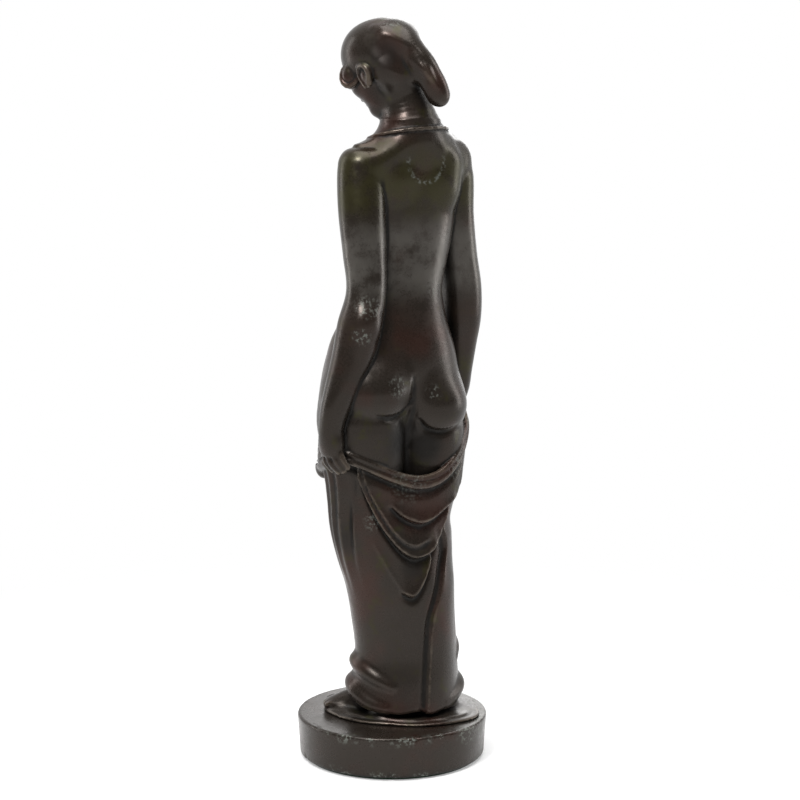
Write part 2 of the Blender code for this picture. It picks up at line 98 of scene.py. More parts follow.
RIGHT_LIMB = {323.6: (-33.5, 0, 2, 2), 322.8: (-33.8, 0, 5, 5), 320.6: (-34.6, 0, 7.2, 7.2),
    315: (-36, -0.3, 9.4, 9.4), 304: (-37.3, -1, 10.8, 10.8), 285: (-38.3, -1.8, 10.6, 10.6),
    265: (-40.8, -2.4, 10.5, 10.5), 246: (-43.8, -3, 10.8, 10.8), 230: (-44.6, -4, 10.6, 10.6),
    215: (-44.8, -6.6, 9.4, 9.4), 202: (-45.2, -9, 8.2, 8.4), 190: (-45.9, -11.6, 7, 7.8),
    180: (-44.6, -15.4, 6, 7.4), 172: (-42.4, -19, 5.2, 6.6)}
CLOTH = {200: (0, -0.8, 43, 33.6), 184: (0, -0.8, 42.7, 33.2), 168: (0, -0.6, 41.6, 31.4),
    152: (-1.5, 0.3, 38.4, 27.6), 140: (-0.6, 0, 35.6, 26), 124: (0.6, -0.2, 32.6, 25),
    108: (-0.8, 0.4, 30.8, 24.4), 92: (-3.4, 1.8, 29.4, 23.8), 74: (-5.4, 2.6, 28.6, 23),
    56: (-6.6, 3.4, 28.2, 22.8), 42: (-5.8, 3.8, 29.6, 24), 24: (-5, 4, 31.6, 25.6)}
# bearing in degrees (0 is the figure's left, 90 its back): height of an edge or a fold
BAND_LINE = {0: 166, 20: 165, 40: 161.5, 60: 155.5, 80: 150.5, 95: 149.5, 110: 151.5, 130: 159, 150: 170,
    170: 179, 210: 183, 250: 186, 280: 184, 310: 172, 335: 160}
HEM_LINE = {0: 33.6, 30: 29.8, 60: 27.8, 80: 28.6, 92: 26.8, 105: 28, 120: 28, 150: 29, 170: 31, 200: 34,
    250: 36, 300: 37.4, 330: 37.4}
# line of the fold, its height, the reach of its upper side, the steepness of its lower side
SWAGS = (({33: 163, 40: 149, 53: 132.5, 64: 122, 75: 113.8, 87: 110, 105: 113, 119: 121.5, 131: 135}, 3.2,
    15, 1), ({38: 163, 46: 148, 60: 132.5, 75: 120.5, 88: 116.5, 104: 119.5}, 1.3, 3.4, 0.9),
    ({66: 138, 73: 134, 82: 130.4, 94: 128.2, 104: 129.6, 116: 133.6, 130: 139.5, 143: 148}, 3, 9, 1),
    ({68: 92, 77: 89.8, 84: 91.4, 94: 98, 103: 106, 109: 113}, 2.6, 8, 1),
    ({196: 150, 215: 136, 240: 124, 262: 121, 285: 127, 310: 142}, 2.6, 13, 1.6),
    ({186: 142, 205: 118, 235: 98, 262: 93, 292: 101, 318: 126}, 2.4, 13, 1.6),
    ({200: 96, 225: 76, 255: 70, 282: 77, 305: 95}, 1.8, 11, 1.6),)
NECKLINE = {0: 324.6, 45: 327.6, 90: 328.8, 135: 329, 180: 327.6, 225: 322.6, 270: 317.6, 315: 320}
EAR = ((0.6, 16.2, -11.6, 1), (1.6, 16.8, -6, 1), (-0.4, 17.4, -2.6, 1.2), (-3.6, 17.4, -3.6, 1.4),
    (-4.2, 16.8, -7.2, 1.4), (-1.8, 15.8, -11.4, 1.4))
HEAD_CENTRE = Vector((2.8, -7, 364.8))
HEAD_TURN = Matrix.Rotation(radians(-78), 4, "Z") @ Matrix.Rotation(radians(28), 4, "Y")


# --- curves ---

def through(stations, at, period=None):
    """Smooth curves through {key: value or values}, read at an array of keys."""
    keys = sorted(stations)
    if period:
        keys = [keys[-2] - period, keys[-1] - period] + keys + [keys[0] + period, keys[1] + period]
        at = np.mod(at, period)
    rows = np.array([np.atleast_1d(stations[key % period if period else key]) for key in keys], float)
    keys = np.array(keys, float)
    at = np.clip(at, keys[0], keys[-1])
    slopes = np.empty_like(rows)
    slopes[1:-1] = (rows[2:] - rows[:-2]) / (keys[2:] - keys[:-2])[:, None]
    slopes[0] = (rows[1] - rows[0]) / (keys[1] - keys[0])
    slopes[-1] = (rows[-1] - rows[-2]) / (keys[-1] - keys[-2])
    slot = np.clip(np.searchsorted(keys, at, side="right") - 1, 0, len(keys) - 2)
    span = keys[slot + 1] - keys[slot]
    t = (at - keys[slot]) / span
    ramp = t * t * (3 - 2 * t)
    curves = []
    for column in range(rows.shape[1]):
        values, slope = rows[:, column], slopes[:, column]
        curves.append((values[slot] * (1 - ramp) + values[slot + 1] * ramp + (t ** 3 - 2 * t ** 2 + t)
            * span * slope[slot] + (t ** 3 - t ** 2) * span * slope[slot + 1]).astype(np.float32))
    return curves if len(curves) > 1 else curves[0]


def bend(points, per_span=5):
    """Catmull-Rom curve through (x, y, z, radius) points."""
    points = np.array(points, float)
    padded = np.vstack([2 * points[0] - points[1], points, 2 * points[-1] - points[-2]])
    path = []
    for i in range(len(points) - 1):
        a, b, c, d = padded[i:i + 4]
        for t in np.arange(per_span) / per_span:
            path.append(0.5 * (2 * b + (c - a) * t + (2 * a - 5 * b + 4 * c - d) * t ** 2
                + (3 * b - 3 * c + d - a) * t ** 3))
    path.append(points[-1])
    return np.array(path)


def ramp(value, low, high):
    """Smooth step from 0 at low to 1 at high."""
    t = np.clip((value - low) / (high - low), 0, 1)
    return t * t * (3 - 2 * t)


# --- signed distances ---

def ball(centre, radii, turn=None):
    """Ellipsoid, with the box that holds it."""
    radii = np.atleast_1d(radii) * np.ones(3)
    axes = np.array((turn or Matrix()).to_3x3())

    def distance(x, y, z):
        offset = (x - centre[0], y - centre[1], z - centre[2])
        local = [sum(axes[row][column] * offset[row] for row in range(3)) for column in range(3)]
        near = np.sqrt(sum((part / radius) ** 2 for part, radius in zip(local, radii)))
        steep = np.sqrt(sum((part / radius ** 2) ** 2 for part, radius in zip(local, radii)))
        return near * (near - 1) / np.maximum(steep, 1e-6)

    reach = max(radii)
    return distance, np.array(centre) - reach, np.array(centre) + reach


def tube(points, smooth=True):
    """Round bar of changing radius through (x, y, z, radius) points."""
    path = bend(points) if smooth else np.array(points, float)

    def distance(x, y, z):
        best = None
        for start, end in zip(path, path[1:]):
            run = end[:3] - start[:3]
            along = ((x - start[0]) * run[0] + (y - start[1]) * run[1] + (z - start[2]) * run[2])
            t = np.clip(along / max(run @ run, 1e-9), 0, 1)
            gap = np.sqrt((x - start[0] - t * run[0]) ** 2 + (y - start[1] - t * run[1]) ** 2
                + (z - start[2] - t * run[2]) ** 2) - start[3] - t * (end[3] - start[3])
            best = gap if best is None else np.minimum(best, gap)
        return best

    reach = path[:, 3].max()
    return distance, path[:, :3].min(0) - reach, path[:, :3].max(0) + reach


def loft(stations, power=2):
    """Form of horizontal ellipses (fuller for a power over 2), cut level at its two ends."""
    top, bottom = max(stations), min(stations)

    def distance(x, y, z):
        centre_x, centre_y, half_x, half_y = through(stations, z)
        across, back = np.abs(x - centre_x) / half_x + 1e-4, np.abs(y - centre_y) / half_y + 1e-4
        near = (across ** power + back ** power) ** (1 / power)
        steep = np.sqrt((across ** (power - 1) / half_x) ** 2 + (back ** (power - 1) / half_y) ** 2)
        side = (near - 1) * near ** (power - 1) / steep
        return np.maximum(side, np.maximum(z - top, bottom - z))

    rows = np.array(list(stations.values()))
    low = (rows[:, :2] - rows[:, 2:]).min(0)
    high = (rows[:, :2] + rows[:, 2:]).max(0)
    return distance, np.array((*low, bottom)), np.array((*high, top))


def on_head(x, y, z):
    """World place of a point given from the skull's centre: forward, left, up."""
    return HEAD_CENTRE + HEAD_TURN @ Vector((x, y, z))


def head_tube(points):
    return tube([(*on_head(*point[:3]), point[3]) for point in points])


def head_ball(place, radii):
    return ball(on_head(*place), radii, HEAD_TURN)


def melted(old, new, width, sign=1):
    """Union of two distances (sign 1) or their overlap (-1), rounded over the width."""
    mix = np.clip(0.5 + 0.5 * sign * (old - new) / width, 0, 1)
    return old + (new - old) * mix - sign * width * mix * (1 - mix)


class Sculpt:
    """Distances to the castings' common surface, and the casting each grid point belongs to."""

    def __init__(self, low, high, step):
        self.step = step
        # grids of any step meet at the neck, half-way between two levels
        level = NECK_JOINT + (np.floor((low[2] - NECK_JOINT) / step) + 0.5) * step
        self.low = np.array((low[0], low[1], level), float)
        self.axes = [np.arange(a, b, step, dtype=np.float32) for a, b in zip(self.low, high)]
        shape = [len(axis) for axis in self.axes]
        self.field = np.full(shape, FAR, np.float32)
        self.label = np.zeros(shape, np.uint8)

    def window(self, low, high, margin):
        parts, coords = [], []
        for i, axis in enumerate(self.axes):
            start = max(0, np.searchsorted(axis, low[i] - margin))
            end = min(len(axis), np.searchsorted(axis, high[i] + margin) + 1)
            parts.append(slice(start, end))
            shape = [1, 1, 1]
            shape[i] = end - start
            coords.append(axis[start:end].reshape(shape))
        return tuple(parts), coords

    def melt(self, shape, blend, sign, margin):
        """Where a form reaches, where it comes out on top, and the field with it."""
        distance, low, high = shape
        parts, coords = self.window(low, high, margin)
        new, old = sign * distance(*coords), self.field[parts]
        width = blend(*coords) if callable(blend) else blend
        return parts, new < old, melted(old, new, width, sign)

    def add(self, shape, label, blend=1):
        """Union, melted into its surroundings over the blend (a number, or made from x, y, z)."""
        parts, nearer, field = self.melt(shape, blend, 1, ADD_MARGIN)
        self.label[parts] = np.where(nearer, label, self.label[parts])
        self.field[parts] = field

    def add_tubes(self, paths, label, blend):
        for path in paths:
            self.add(tube(path), label, blend)

    def carve(self, shape, blend=1, only=None):
        """Takes a form away, with a rounded edge."""
        parts, _, field = self.melt(shape, blend, -1, CARVE_MARGIN)
        if only is not None:
            field = np.where(self.label[parts] == only, field, self.field[parts])
        self.field[parts] = field

    def on_back(self, x, z, out=0):
        """Place on the hindmost surface at x and z, or a little out of it."""
        i = np.abs(self.axes[0] - x).argmin()
        k = np.abs(self.axes[2] - z).argmin()
        column = self.field[i, :, k]
        j = np.nonzero(column < 0)[0][-1]
        y = self.axes[1][j] + self.step * column[j] / (column[j] - column[j + 1])
        return (x, float(y) + out, z)

    def crease(self, stations, blend=1.6):
        """Groove along the back from (x, z, radius, how far its centre stands out)."""
        self.carve(tube([(*self.on_back(x, z, out), radius) for x, z, radius, out in stations]), blend)

    def sample(self, places):
        """The field at places, a row each, between grid points."""
        where = (np.array(places, float) - self.low) / self.step
        near = np.clip(np.floor(where).astype(int), 0, np.array(self.field.shape) - 2)
        part = where - near
        value = 0
        for corner in ((i, j, k) for i in (0, 1) for j in (0, 1) for k in (0, 1)):
            weight = np.prod(np.where(corner, part, 1 - part), axis=1)
            value = value + weight * self.field[tuple((near + corner).T)]
        return value

    def on_side(self, axis, bearing, z):
        """How far the outer surface is from an upright axis, at a bearing."""
        reach = np.arange(4, 30, 0.1)
        places = np.stack([axis[0] + reach * cos(bearing), axis[1] + reach * sin(bearing),
            np.full(len(reach), z)], 1)
        return float(reach[np.argmax(self.sample(places) > 0)])

    def relabel(self, old, new, low, high):
        parts, _ = self.window(low, high, 0)
        found = self.label[parts]
        found[found == old] = new

    def skins(self):
        """Vertices shared by all castings, and each casting's own quads."""
        inside = without_specks(np.where(self.field < 0, self.label, 0).astype(np.uint8))
        cells = np.array(inside.shape) + 1
        ids, places, weights, edges = [], [], [], []
        for axis in range(3):
            lower, upper = ((slice(None),) * axis + (part,) for part in (slice(None, -1), slice(1, None)))
            where = np.nonzero(inside[lower] != inside[upper])
            fa, fb = self.field[lower][where], self.field[upper][where]
            la, lb = inside[lower][where], inside[upper][where]
            outer = (la == 0) | (lb == 0)
            gap = fa - fb
            t = np.where(outer, fa / np.where(np.abs(gap) < 1e-9, 1, gap), 0.5)
            place = np.stack(where, 1).astype(np.float64)
            place[:, axis] += np.clip(t, CLEARANCE, 1 - CLEARANCE)
            corners = []
            for steps in ((0, 0), (-1, 0), (-1, -1), (0, -1)):
                cell = np.stack(where, 1) + 1 + np.insert(steps, axis, 0)
                corners.append((cell[:, 0] * cells[1] + cell[:, 1]) * cells[2] + cell[:, 2])
            corners = np.stack(corners, 1)
            if axis == 1:
                corners = corners[:, ::-1]
            edges.append((corners, la, lb))
            for corner in range(4):
                ids.append(corners[:, corner])
                places.append(place)
                weights.append(np.where(outer, 1, JOINT_WEIGHT))
        ids, weights, places = (np.concatenate(parts) for parts in (ids, weights, places))
        unique, inverse = np.unique(ids, return_inverse=True)
        total = np.bincount(inverse, weights)
        points = np.stack([np.bincount(inverse, weights * places[:, i]) / total for i in range(3)], 1)
        quads, skin = {}, []
        for corners, la, lb in edges:
            faces = np.searchsorted(unique, corners)
            outward = np.where((lb == 0)[:, None], faces, faces[:, ::-1])
            skin.append(outward[(la == 0) | (lb == 0)])
            for label in NODES:
                quads.setdefault(label, []).append(faces[la == label])
                quads[label].append(faces[lb == label][:, ::-1])
        skin = np.concatenate(skin)
        mean = averager(skin, len(points))
        for _ in range(RELAX_ROUNDS):
            for strength in RELAX:
                points += strength * (mean(points) - points)
        relief, normals = standing_out(points, skin, mean, round(RELIEF_SMOOTHING / self.step ** 2))
        points = self.low + points * self.step
        quads = {label: np.concatenate(parts) for label, parts in quads.items()}
        return points, relief * self.step, normals, quads


def without_specks(labels):
    """Gives each lone grid point to a neighbour's casting."""
    padded = np.pad(labels, 1)
    middle = (slice(1, -1),) * 3
    beside = [np.roll(padded, step, axis)[middle] for axis in range(3) for step in (1, -1)]
    lone = (labels > 0) & ~np.logical_or.reduce([other == labels for other in beside])
    return np.where(lone, np.maximum.reduce(beside), labels)


def averager(faces, total):
    """Function that gives every point of the outer skin the mean of its neighbours."""
    a = faces.ravel()
    b = np.roll(faces, -1, 1).ravel()
    start, end = np.concatenate([a, b]), np.concatenate([b, a])
    count = np.bincount(start, minlength=total)
    used = count > 0

    def mean(points):
        spread = np.stack([np.bincount(start, points[end, i], total) for i in range(3)], 1)
        spread[used] /= count[used, None]
        spread[~used] = points[~used]
        return spread

    return mean


def standing_out(points, faces, mean, rounds):
    """How far each point stands out of the skin once smoothed (hollows negative), and its normal."""
    smooth = points
    for _ in range(rounds):
        smooth = mean(smooth)
    normals = np.cross(points[faces[:, 2]] - points[faces[:, 0]], points[faces[:, 3]] - points[faces[:, 1]])
    total = np.stack([sum(np.bincount(faces[:, corner], normals[:, i], len(points)) for corner in range(4))
        for i in range(3)], 1)
    total /= np.maximum(np.linalg.norm(total, axis=1), 1e-9)[:, None]
    out = ((points - smooth) * total).sum(1)
    return out * np.sign(out.sum()), total


# --- the figure ---

def model_shoulders(clay):
    """The whole trunk's form, with the muscles that run up to the neck."""
    clay.add(loft(TRUNK, 2.25), TORSO)
    for x in (3.2, -19.6):
        clay.add(ball((x, -15, 288.5), (9.6, 9, 10.4)), TORSO, 5)
    slopes = (((-6.8, 3.2, 342, 5), (-7.6, 4.4, 334, 8), (-5.4, 4.6, 326.6, 10), (3, 4.2, 319.6, 8.8),
        (13, 3.4, 314.6, 8.2), (19, 3, 312, 8)), ((-6.8, 3.2, 342, 5), (-9, 4.4, 334, 8),
        (-11.4, 4.4, 327.6, 10), (-19, 3.4, 321.8, 9), (-29, 1.6, 317.6, 8.6), (-35, 0, 314, 8.6)))
    clay.add_tubes(slopes, TORSO, 7)
    blades = (((19, 10, 310, 3.4), (10, 13.2, 315.5, 4), (0, 14.4, 320.5, 4), (-6, 13, 325, 3.4)),
        ((-35, 7, 311, 3.4), (-27, 11.4, 313.5, 4), (-19, 13.4, 317, 4)))
    clay.add_tubes(blades, TORSO, 6)
    clay.add(ball((5.5, 9.6, 304), (11, 8, 11)), TORSO, 7)
    clay.add(ball((-23.5, 9.4, 303), (9.5, 7.6, 14)), TORSO, 7)


def model_hips(clay):
    for side in ((17.2, 6.2, 195.5), (-17, 6.6, 187)):
        clay.add(ball(side, (20.4, 22.3, 20.2)), TORSO, 7)
    back_of_thighs = (((17.5, 0, 194, 17), (18.4, 3.6, 182, 20.2), (17.8, 3.7, 166, 20),
        (16.2, 3.4, 152, 18.4), (14.5, 2.4, 140, 15)), ((-17.4, 0.4, 188, 17), (-18, 3.8, 174, 20),
        (-17, 3.8, 160, 19.6), (-15.5, 2.6, 140, 16)))
    clay.add_tubes(back_of_thighs, TORSO, 1.3)
    front_of_thighs = (((18.5, -9, 200, 14.5), (19.5, -10.6, 181, 17), (19.3, -8.5, 168, 16.2),
        (19, -6.5, 156, 14.6), (17, -3, 140, 12.5)), ((-17, -7, 196, 14), (-17.5, -9, 178, 16),
        (-17, -7, 158, 15), (-15, -4, 140, 13)))
    clay.add_tubes(front_of_thighs, TORSO, 3)
    clay.add(ball((2.6, -11.6, 211), (26, 17.2, 27)), TORSO, 8)
    middle = ((-8, -20.5, 312, 1.2), (-8.2, -20.8, 292, 1.8), (-5.5, -19.8, 262, 1.6),
        (-2.6, -20.4, 240, 1.2))
    clay.carve(tube(middle), 4)
    clay.carve(ball((-0.8, -27.4, 219), (1.5, 2.4, 2)), 2)
    # the hollow between the thighs, the cleft above it and the creases under the seat
    cleft = ((0.4, 203, 0.8, 0.8), (0.2, 197, 1.4, 0.6), (0.3, 190, 1.8, 0.5), (0.3, 183, 1.8, 0.6),
        (0.3, 175, 1.2, 0.7), (0.4, 167, 0.8, 0.8))
    clay.crease(cleft, 2.4)
    clay.crease(((23, 184.6, 0.8, 0.8), (19, 183.6, 1.5, 0.8), (13.7, 183, 2, 0.8), (8, 184.4, 2.2, 0.8),
        (4, 187.4, 1.9, 0.9), (1.4, 191, 1.4, 0.8)), 1)
    clay.crease(((-3, 180.4, 1.3, 0.8), (-7, 176, 1.8, 0.8), (-13.5, 173.8, 1.8, 0.8),
        (-20, 174.4, 1.4, 0.8), (-25, 176.4, 0.8, 0.9)), 1.4)


def model_neck(clay):
    neck = ((-8.8, 5.2, 322, 14.6), (-8.2, 4.8, 331, 13.6), (-5.8, 2.2, 344, 12), (-2.6, -1.6, 357, 11.2))
    clay.add(tube(neck), TORSO, 6)


def model_head(clay):
    clay.relabel(TORSO, HEAD, (-40, -40, NECK_JOINT), (40, 40, 392))
    for place, radii, blend in (((-0.6, 0, -1), (20.6, 16.6, 17.4), 4),
            ((7.6, 0, -10), (11, 12.4, 16.4), 5), ((12.6, 0, -23.2), (4.6, 5, 3.8), 4)):
        clay.add(head_ball(place, radii), HEAD, blend)
    for side in (1, -1):
        clay.add(head_ball((12.4, 7.2 * side, -10), (5.2, 4.6, 4.8)), HEAD, 4)
        brow = ((13.4, 11.6 * side, -3.4, 1.2), (17, 7.6 * side, -1.6, 1.4), (18.6, 2.6 * side, -2.4, 1.3))
        clay.add(head_tube(brow), HEAD, 3)
        clay.carve(head_ball((19.4, 6.2 * side, -5.9), (2.8, 4, 2.3)), 2.4)
        clay.add(head_ball((14.9, 6.2 * side, -6.2), (3, 3.3, 2.6)), HEAD, 0.7)
        lid = ((15.2, 9.4 * side, -6.8, 0.5), (17.5, 7.4 * side, -7.5, 0.6), (17.8, 5 * side, -7.6, 0.6),
            (17.2, 3 * side, -6.9, 0.45))
        clay.add(head_tube(lid), HEAD, 0.5)
        clay.carve(head_tube([(x + 0.5, y, z - 0.8, 0.35) for x, y, z, _ in lid]), 0.5)
        clay.add(head_ball((19, 2 * side, -13.3), (1.9, 1.4, 1.3)), HEAD, 0.9)
        clay.add(head_ball((-0.2, 14.6 * side, -11.4), (3.6, 2.2, 6.4)), HEAD, 1.4)
        clay.add(head_tube([(1.15 * x + 1, (y - 0.6) * side, 1.1 * z - 3.6, radius) for x, y, z, radius
            in EAR]), HEAD, 0.8)
    nose = ((17.8, 0, -3.4, 1.3), (19.4, 0, -8, 1.45), (21.2, 0, -12.6, 1.75))
    clay.add(head_tube(nose), HEAD, 1.8)
    upper = ((15.9, -4.4, -18.6, 0.5), (18.1, -1.5, -17.7, 1.1), (18.5, 0, -18, 1.05),
        (18.1, 1.5, -17.7, 1.1), (15.9, 4.4, -18.6, 0.5))
    lower = ((16, -3.4, -19.6, 0.6), (17.7, 0, -20.4, 1.4), (16, 3.4, -19.6, 0.6))
    clay.add(head_tube(upper), HEAD, 0.9)
    clay.add(head_tube(lower), HEAD, 0.9)
    clay.carve(head_tube(((16.4, -4.2, -19, 0.3), (19.5, 0, -19.1, 0.35), (16.4, 4.2, -19, 0.3))), 0.5)


def model_hair(clay):
    """Smooth cap drawn back from the brow, gathered along a ridge into a long roll."""
    cap, low, high = head_ball((-0.6, 0, -0.2), (21.6, 17.9, 18.9))
    nape, _, _ = head_ball((-8, 0, -9), (12.5, 14, 14.5))
    temples = [head_ball((2, 4.4 * side, 3.8), (15.3, 13.6, 14.2))[0] for side in (1, -1)]
    brow, rise = on_head(19, 0, 7), HEAD_TURN.to_3x3() @ Vector((-0.8, 0, 0.6))

    def hair(x, y, z):
        dome = np.minimum(cap(x, y, z), nape(x, y, z))
        for temple in temples:
            dome = melted(dome, temple(x, y, z), 3)
        before = (x - brow.x) * rise.x + (y - brow.y) * rise.y + (z - brow.z) * rise.z
        return np.maximum(dome, -before)

    def melt(x, y, z):
        return 1 + 6 * ramp(y - 0.3 * x, -4, 8)

    clay.add((hair, low - 6, high + 3), HEAD, melt)
    crown = ((-5.6, 1.6, 371.4, 9.5), (-2.8, 6.4, 371, 9.1), (-2.4, 10.6, 368.2, 8.7),
        (-4.8, 14.2, 363.6, 8.2), (-7.4, 17.2, 358.6, 7.6))
    clay.add(tube(crown), HEAD, 4)
    ridge = ((10.6, 2.4, 376.8, 2.8), (8.2, 6.8, 375.6, 3.6), (6, 10, 373.4, 4), (3, 12.6, 370.2, 4),
        (-0.6, 15.2, 366, 4), (-3.2, 17.6, 361.6, 4.2))
    clay.add(tube(ridge), HEAD, 2.6)
    # hollow under the ridge, where the hair is drawn up
    clay.carve(tube(((19.4, 11.4, 370.4, 3.6), (14.8, 15.8, 368, 5), (9.8, 19.4, 365.4, 5.6),
        (3.2, 21.6, 361.2, 5.2), (-0.6, 22.4, 357, 3.6))), 5)
    roll = ((-3.8, 15, 365, 6), (-6.2, 17.2, 361.6, 6.9), (-9.4, 19.4, 356, 6.7), (-12, 21.2, 350.6, 6.5),
        (-13.9, 22, 346, 6.1), (-14.6, 22.4, 344.4, 5.1))
    clay.add(tube(roll), HAIR_ROLL, 1.6)
    # twisted lock and its knot on the near side of the roll
    clay.add(tube(((0.6, 13.8, 365.8, 1.2), (-2.4, 18.4, 362.6, 2.1), (-5.2, 22.8, 358.6, 3),
        (-7.4, 25, 354, 2.6), (-10.2, 26, 349, 1.6))), HAIR_ROLL, 1.2)
    # coiled lock over the temple
    centre = Vector((20.6, -8.8, 356.4))
    outward = Vector((0.8, 0.54, 0.28)).normalized()
    across = outward.cross(Vector((0, 0, 1))).normalized()
    up = across.cross(outward)
    coil = []
    for i in range(30):
        a = 2 * pi * i / 14 + 2.2
        reach = 5.8 - 0.18 * i
        place = centre + (across * cos(a) + up * sin(a) * 1.3) * reach + outward * (0.07 * i - 2)
        coil.append((*place, 1.5 - 0.018 * i))
    clay.add(ball(centre - outward * 4.2, (5.4, 5.6, 7)), HAIR_CURL, 1)
    clay.add(tube(coil, smooth=False), HAIR_CURL, 0.3)


def model_necklace(clay):
    """Twisted cord lying on the shoulders all round the neck."""
    axis = (-8.5, 3.5)
    bearings = np.linspace(0, 2 * pi, 73)[:-1]
    heights = [float(through(NECKLINE, np.array(degrees(a)), 360)) for a in bearings]
    reach = np.array([clay.on_side(axis, a, z) for a, z in zip(bearings, heights)])
    reach = sum(np.roll(reach, shift) for shift in range(-4, 5)) / 9
    cord = [(axis[0] + (out + 0.3) * cos(a), axis[1] + (out + 0.3) * sin(a), z, 1.05 + 0.1 * sin(24 * a))
        for a, z, out in zip(bearings, heights, reach)]
    clay.add(tube(cord + cord[:1], smooth=False), NECKLACE, 0.3)


def model_arms(clay):
    def melt(high, low):
        return lambda x, y, z: low + (high - low) * ramp(z, 296, 316)

    clay.add(loft(LEFT_LIMB), LEFT_ARM, melt(7, 0.9))
    clay.add(ball((27, 21.2, 231.5), (5, 4, 6.5)), LEFT_ARM, 6)
    clay.add(loft(RIGHT_LIMB), RIGHT_ARM, melt(6, 0.9))
    clay.add(ball((40.2, 9.4, 170.4), (5, 7.7, 8.6)), LEFT_ARM, 3)
    thumb = ((38.6, 0.4, 174, 2.5), (37.8, -4.6, 167, 2.3), (37.2, -6.6, 160, 2))
    clay.add(tube(thumb), LEFT_ARM, 1.4)
    palm = ball((-42.6, -19.6, 171), (4.4, 7.6, 8.4), Matrix.Rotation(radians(24), 4, "Z"))
    clay.add(palm, RIGHT_ARM, 3)
    for i in range(4):
        root = (-43.6 + 2.2 * i, -14.4 - 4.4 * i, 168.5 - 0.5 * abs(i - 2), 2.3)
        middle = (-43.8 + 2.6 * i, -15.2 - 4.5 * i, 162.4, 2.2)
        tip = (-40.6 + 2.4 * i, -14.6 - 4.2 * i, 156.4 + 0.8 * abs(i - 2), 1.8)
        clay.add(tube((root, middle, tip)), RIGHT_ARM, 0.7)
    clay.add(tube(((-38.6, -24.4, 175, 2.6), (-35, -28.4, 169, 2.4), (-34.6, -28.6, 162.6, 1.9))),
        RIGHT_ARM, 1.4)


# --- cloth ---

def swag_relief(bearing, z, swag):
    """Height of a hanging fold: soft above its line and steep below it, dying out at its ends."""
    line, height, reach, steep = swag
    first, last = min(line), max(line)
    above = z - through(line, np.clip(bearing, first, last))
    ends = ramp(bearing, first - 5, first + 7) * (1 - ramp(bearing, last - 8, last + 6))
    body = ramp(above, -steep, steep) * np.exp(-np.maximum(above, 0) / reach)
    return ends * height * (body - 0.38 * bell(above + 2.2, 2))


def bell(value, width):
    return np.exp(-(value / width) ** 2)


def turn_from(bearing, centre):
    return np.mod(bearing - centre + 180, 360) - 180


def cloth_relief(bearing, z):
    relief = sum(swag_relief(bearing, z, swag) for swag in SWAGS)
    # upright edge of the cloth's end, lapped over the back
    lap = {24: 87, 40: 88, 60: 91, 77: 98, 90: 110, 103: 121, 112: 128, 122: 125, 134: 116}
    past = bearing - through(lap, z)
    fade = 1 - ramp(z, 118, 128)
    relief += fade * (1.8 * ramp(past, -1.2, 1.2) * (1 - ramp(past, 14, 60)) - 0.8 * bell(past + 4, 3))
    # gathers falling from the left hand
    for start, end, width, height in ((16, 8, 4.6, 1.7), (3, -5, 5, 1.7), (29, 27, 3.6, 1),
            (-12, -18, 5, 1.3)):
        centre = end + (start - end) * ramp(z, 90, 160)
        gather = bell(turn_from(bearing, centre), width)
        relief += height * gather * ramp(z, 84, 128) * (1 - ramp(z, 158, 170))
    # deep valley between the cloth hanging from the hand and the swags
    valley = 22 + 10 * ramp(z, 108, 164)
    depth = bell(turn_from(bearing, valley), 5)
    relief -= 1.9 * depth * ramp(z, 98, 136) * (1 - ramp(z, 158, 168))
    # long soft folds of the front
    for centre, width, height in ((238, 7, 1.3), (262, 6, 1.2), (284, 7, 1.5), (306, 8, 1.2), (205, 9, 1)):
        fold = bell(turn_from(bearing - (z - 60) * 0.06, centre), width)
        relief += height * fold * (1 - ramp(z, 60, 112))
    # faint crease from the hand down to the hooked fold, and the slack over the knee
    crease = {48: 118, 52: 113, 60: 102, 68: 92}
    on_crease = ramp(bearing, 46, 52) * (1 - ramp(bearing, 64, 72))
    below = z - through(crease, np.clip(bearing, 48, 68))
    relief += 0.9 * on_crease * ramp(below, -1.5, 1.5) * np.exp(-np.maximum(below, 0) / 6)
    return relief


def model_cloth(clay):
    surface, low, high = loft(CLOTH)

    def lay(x, y, z):
        """Bearing round the cloth, and height over its upper edge."""
        centre_x, centre_y, half_x, half_y = through(CLOTH, z)
        bearing = np.degrees(np.arctan2((y - centre_y) / half_y, (x - centre_x) / half_x))
        bearing = np.mod(bearing, 360).astype(np.float32)
        return bearing, z - through(BAND_LINE, bearing, 360)

    def draped(x, y, z):
        bearing, top = lay(x, y, z)
        tucked = 1.8 * bell(top + 5, 2.4) + 2 * ramp(top, -5, -1)
        side = surface(x, y, z) - cloth_relief(bearing, z) + tucked
        return melted(np.maximum(side, top + 0.5), through(HEM_LINE, bearing, 360) - z, 2, -1)

    def spare(x, y, z):
        """Whatever of the legs would come through the cloth."""
        return np.maximum(-(surface(x, y, z) + 3.4), lay(x, y, z)[1] + 3)

    clay.carve((spare, low - 3, high + 3), 0.5, only=TORSO)
    clay.add((draped, low - 3, high + 3), SKIRT, 0.5)
    hollow = {44: (-6, 3.6, 20, 15), 38: (-6, 3.6, 24, 19), 20: (-5, 4, 27.5, 21.5)}
    clay.carve(loft(hollow), 1, only=SKIRT)


def on_cloth(bearing, height, out=0):
    centre_x, centre_y, half_x, half_y = (float(v) for v in through(CLOTH, np.array(height)))
    return (centre_x + (half_x + out) * cos(radians(bearing)), centre_y + (half_y + out)
        * sin(radians(bearing)), height)


def roll_on_cloth(stations):
    """Bar lying on the cloth, from (bearing, height, radius, how far it stands out)."""
    return tube([(*on_cloth(bearing, height, out), radius) for bearing, height, radius, out in stations])


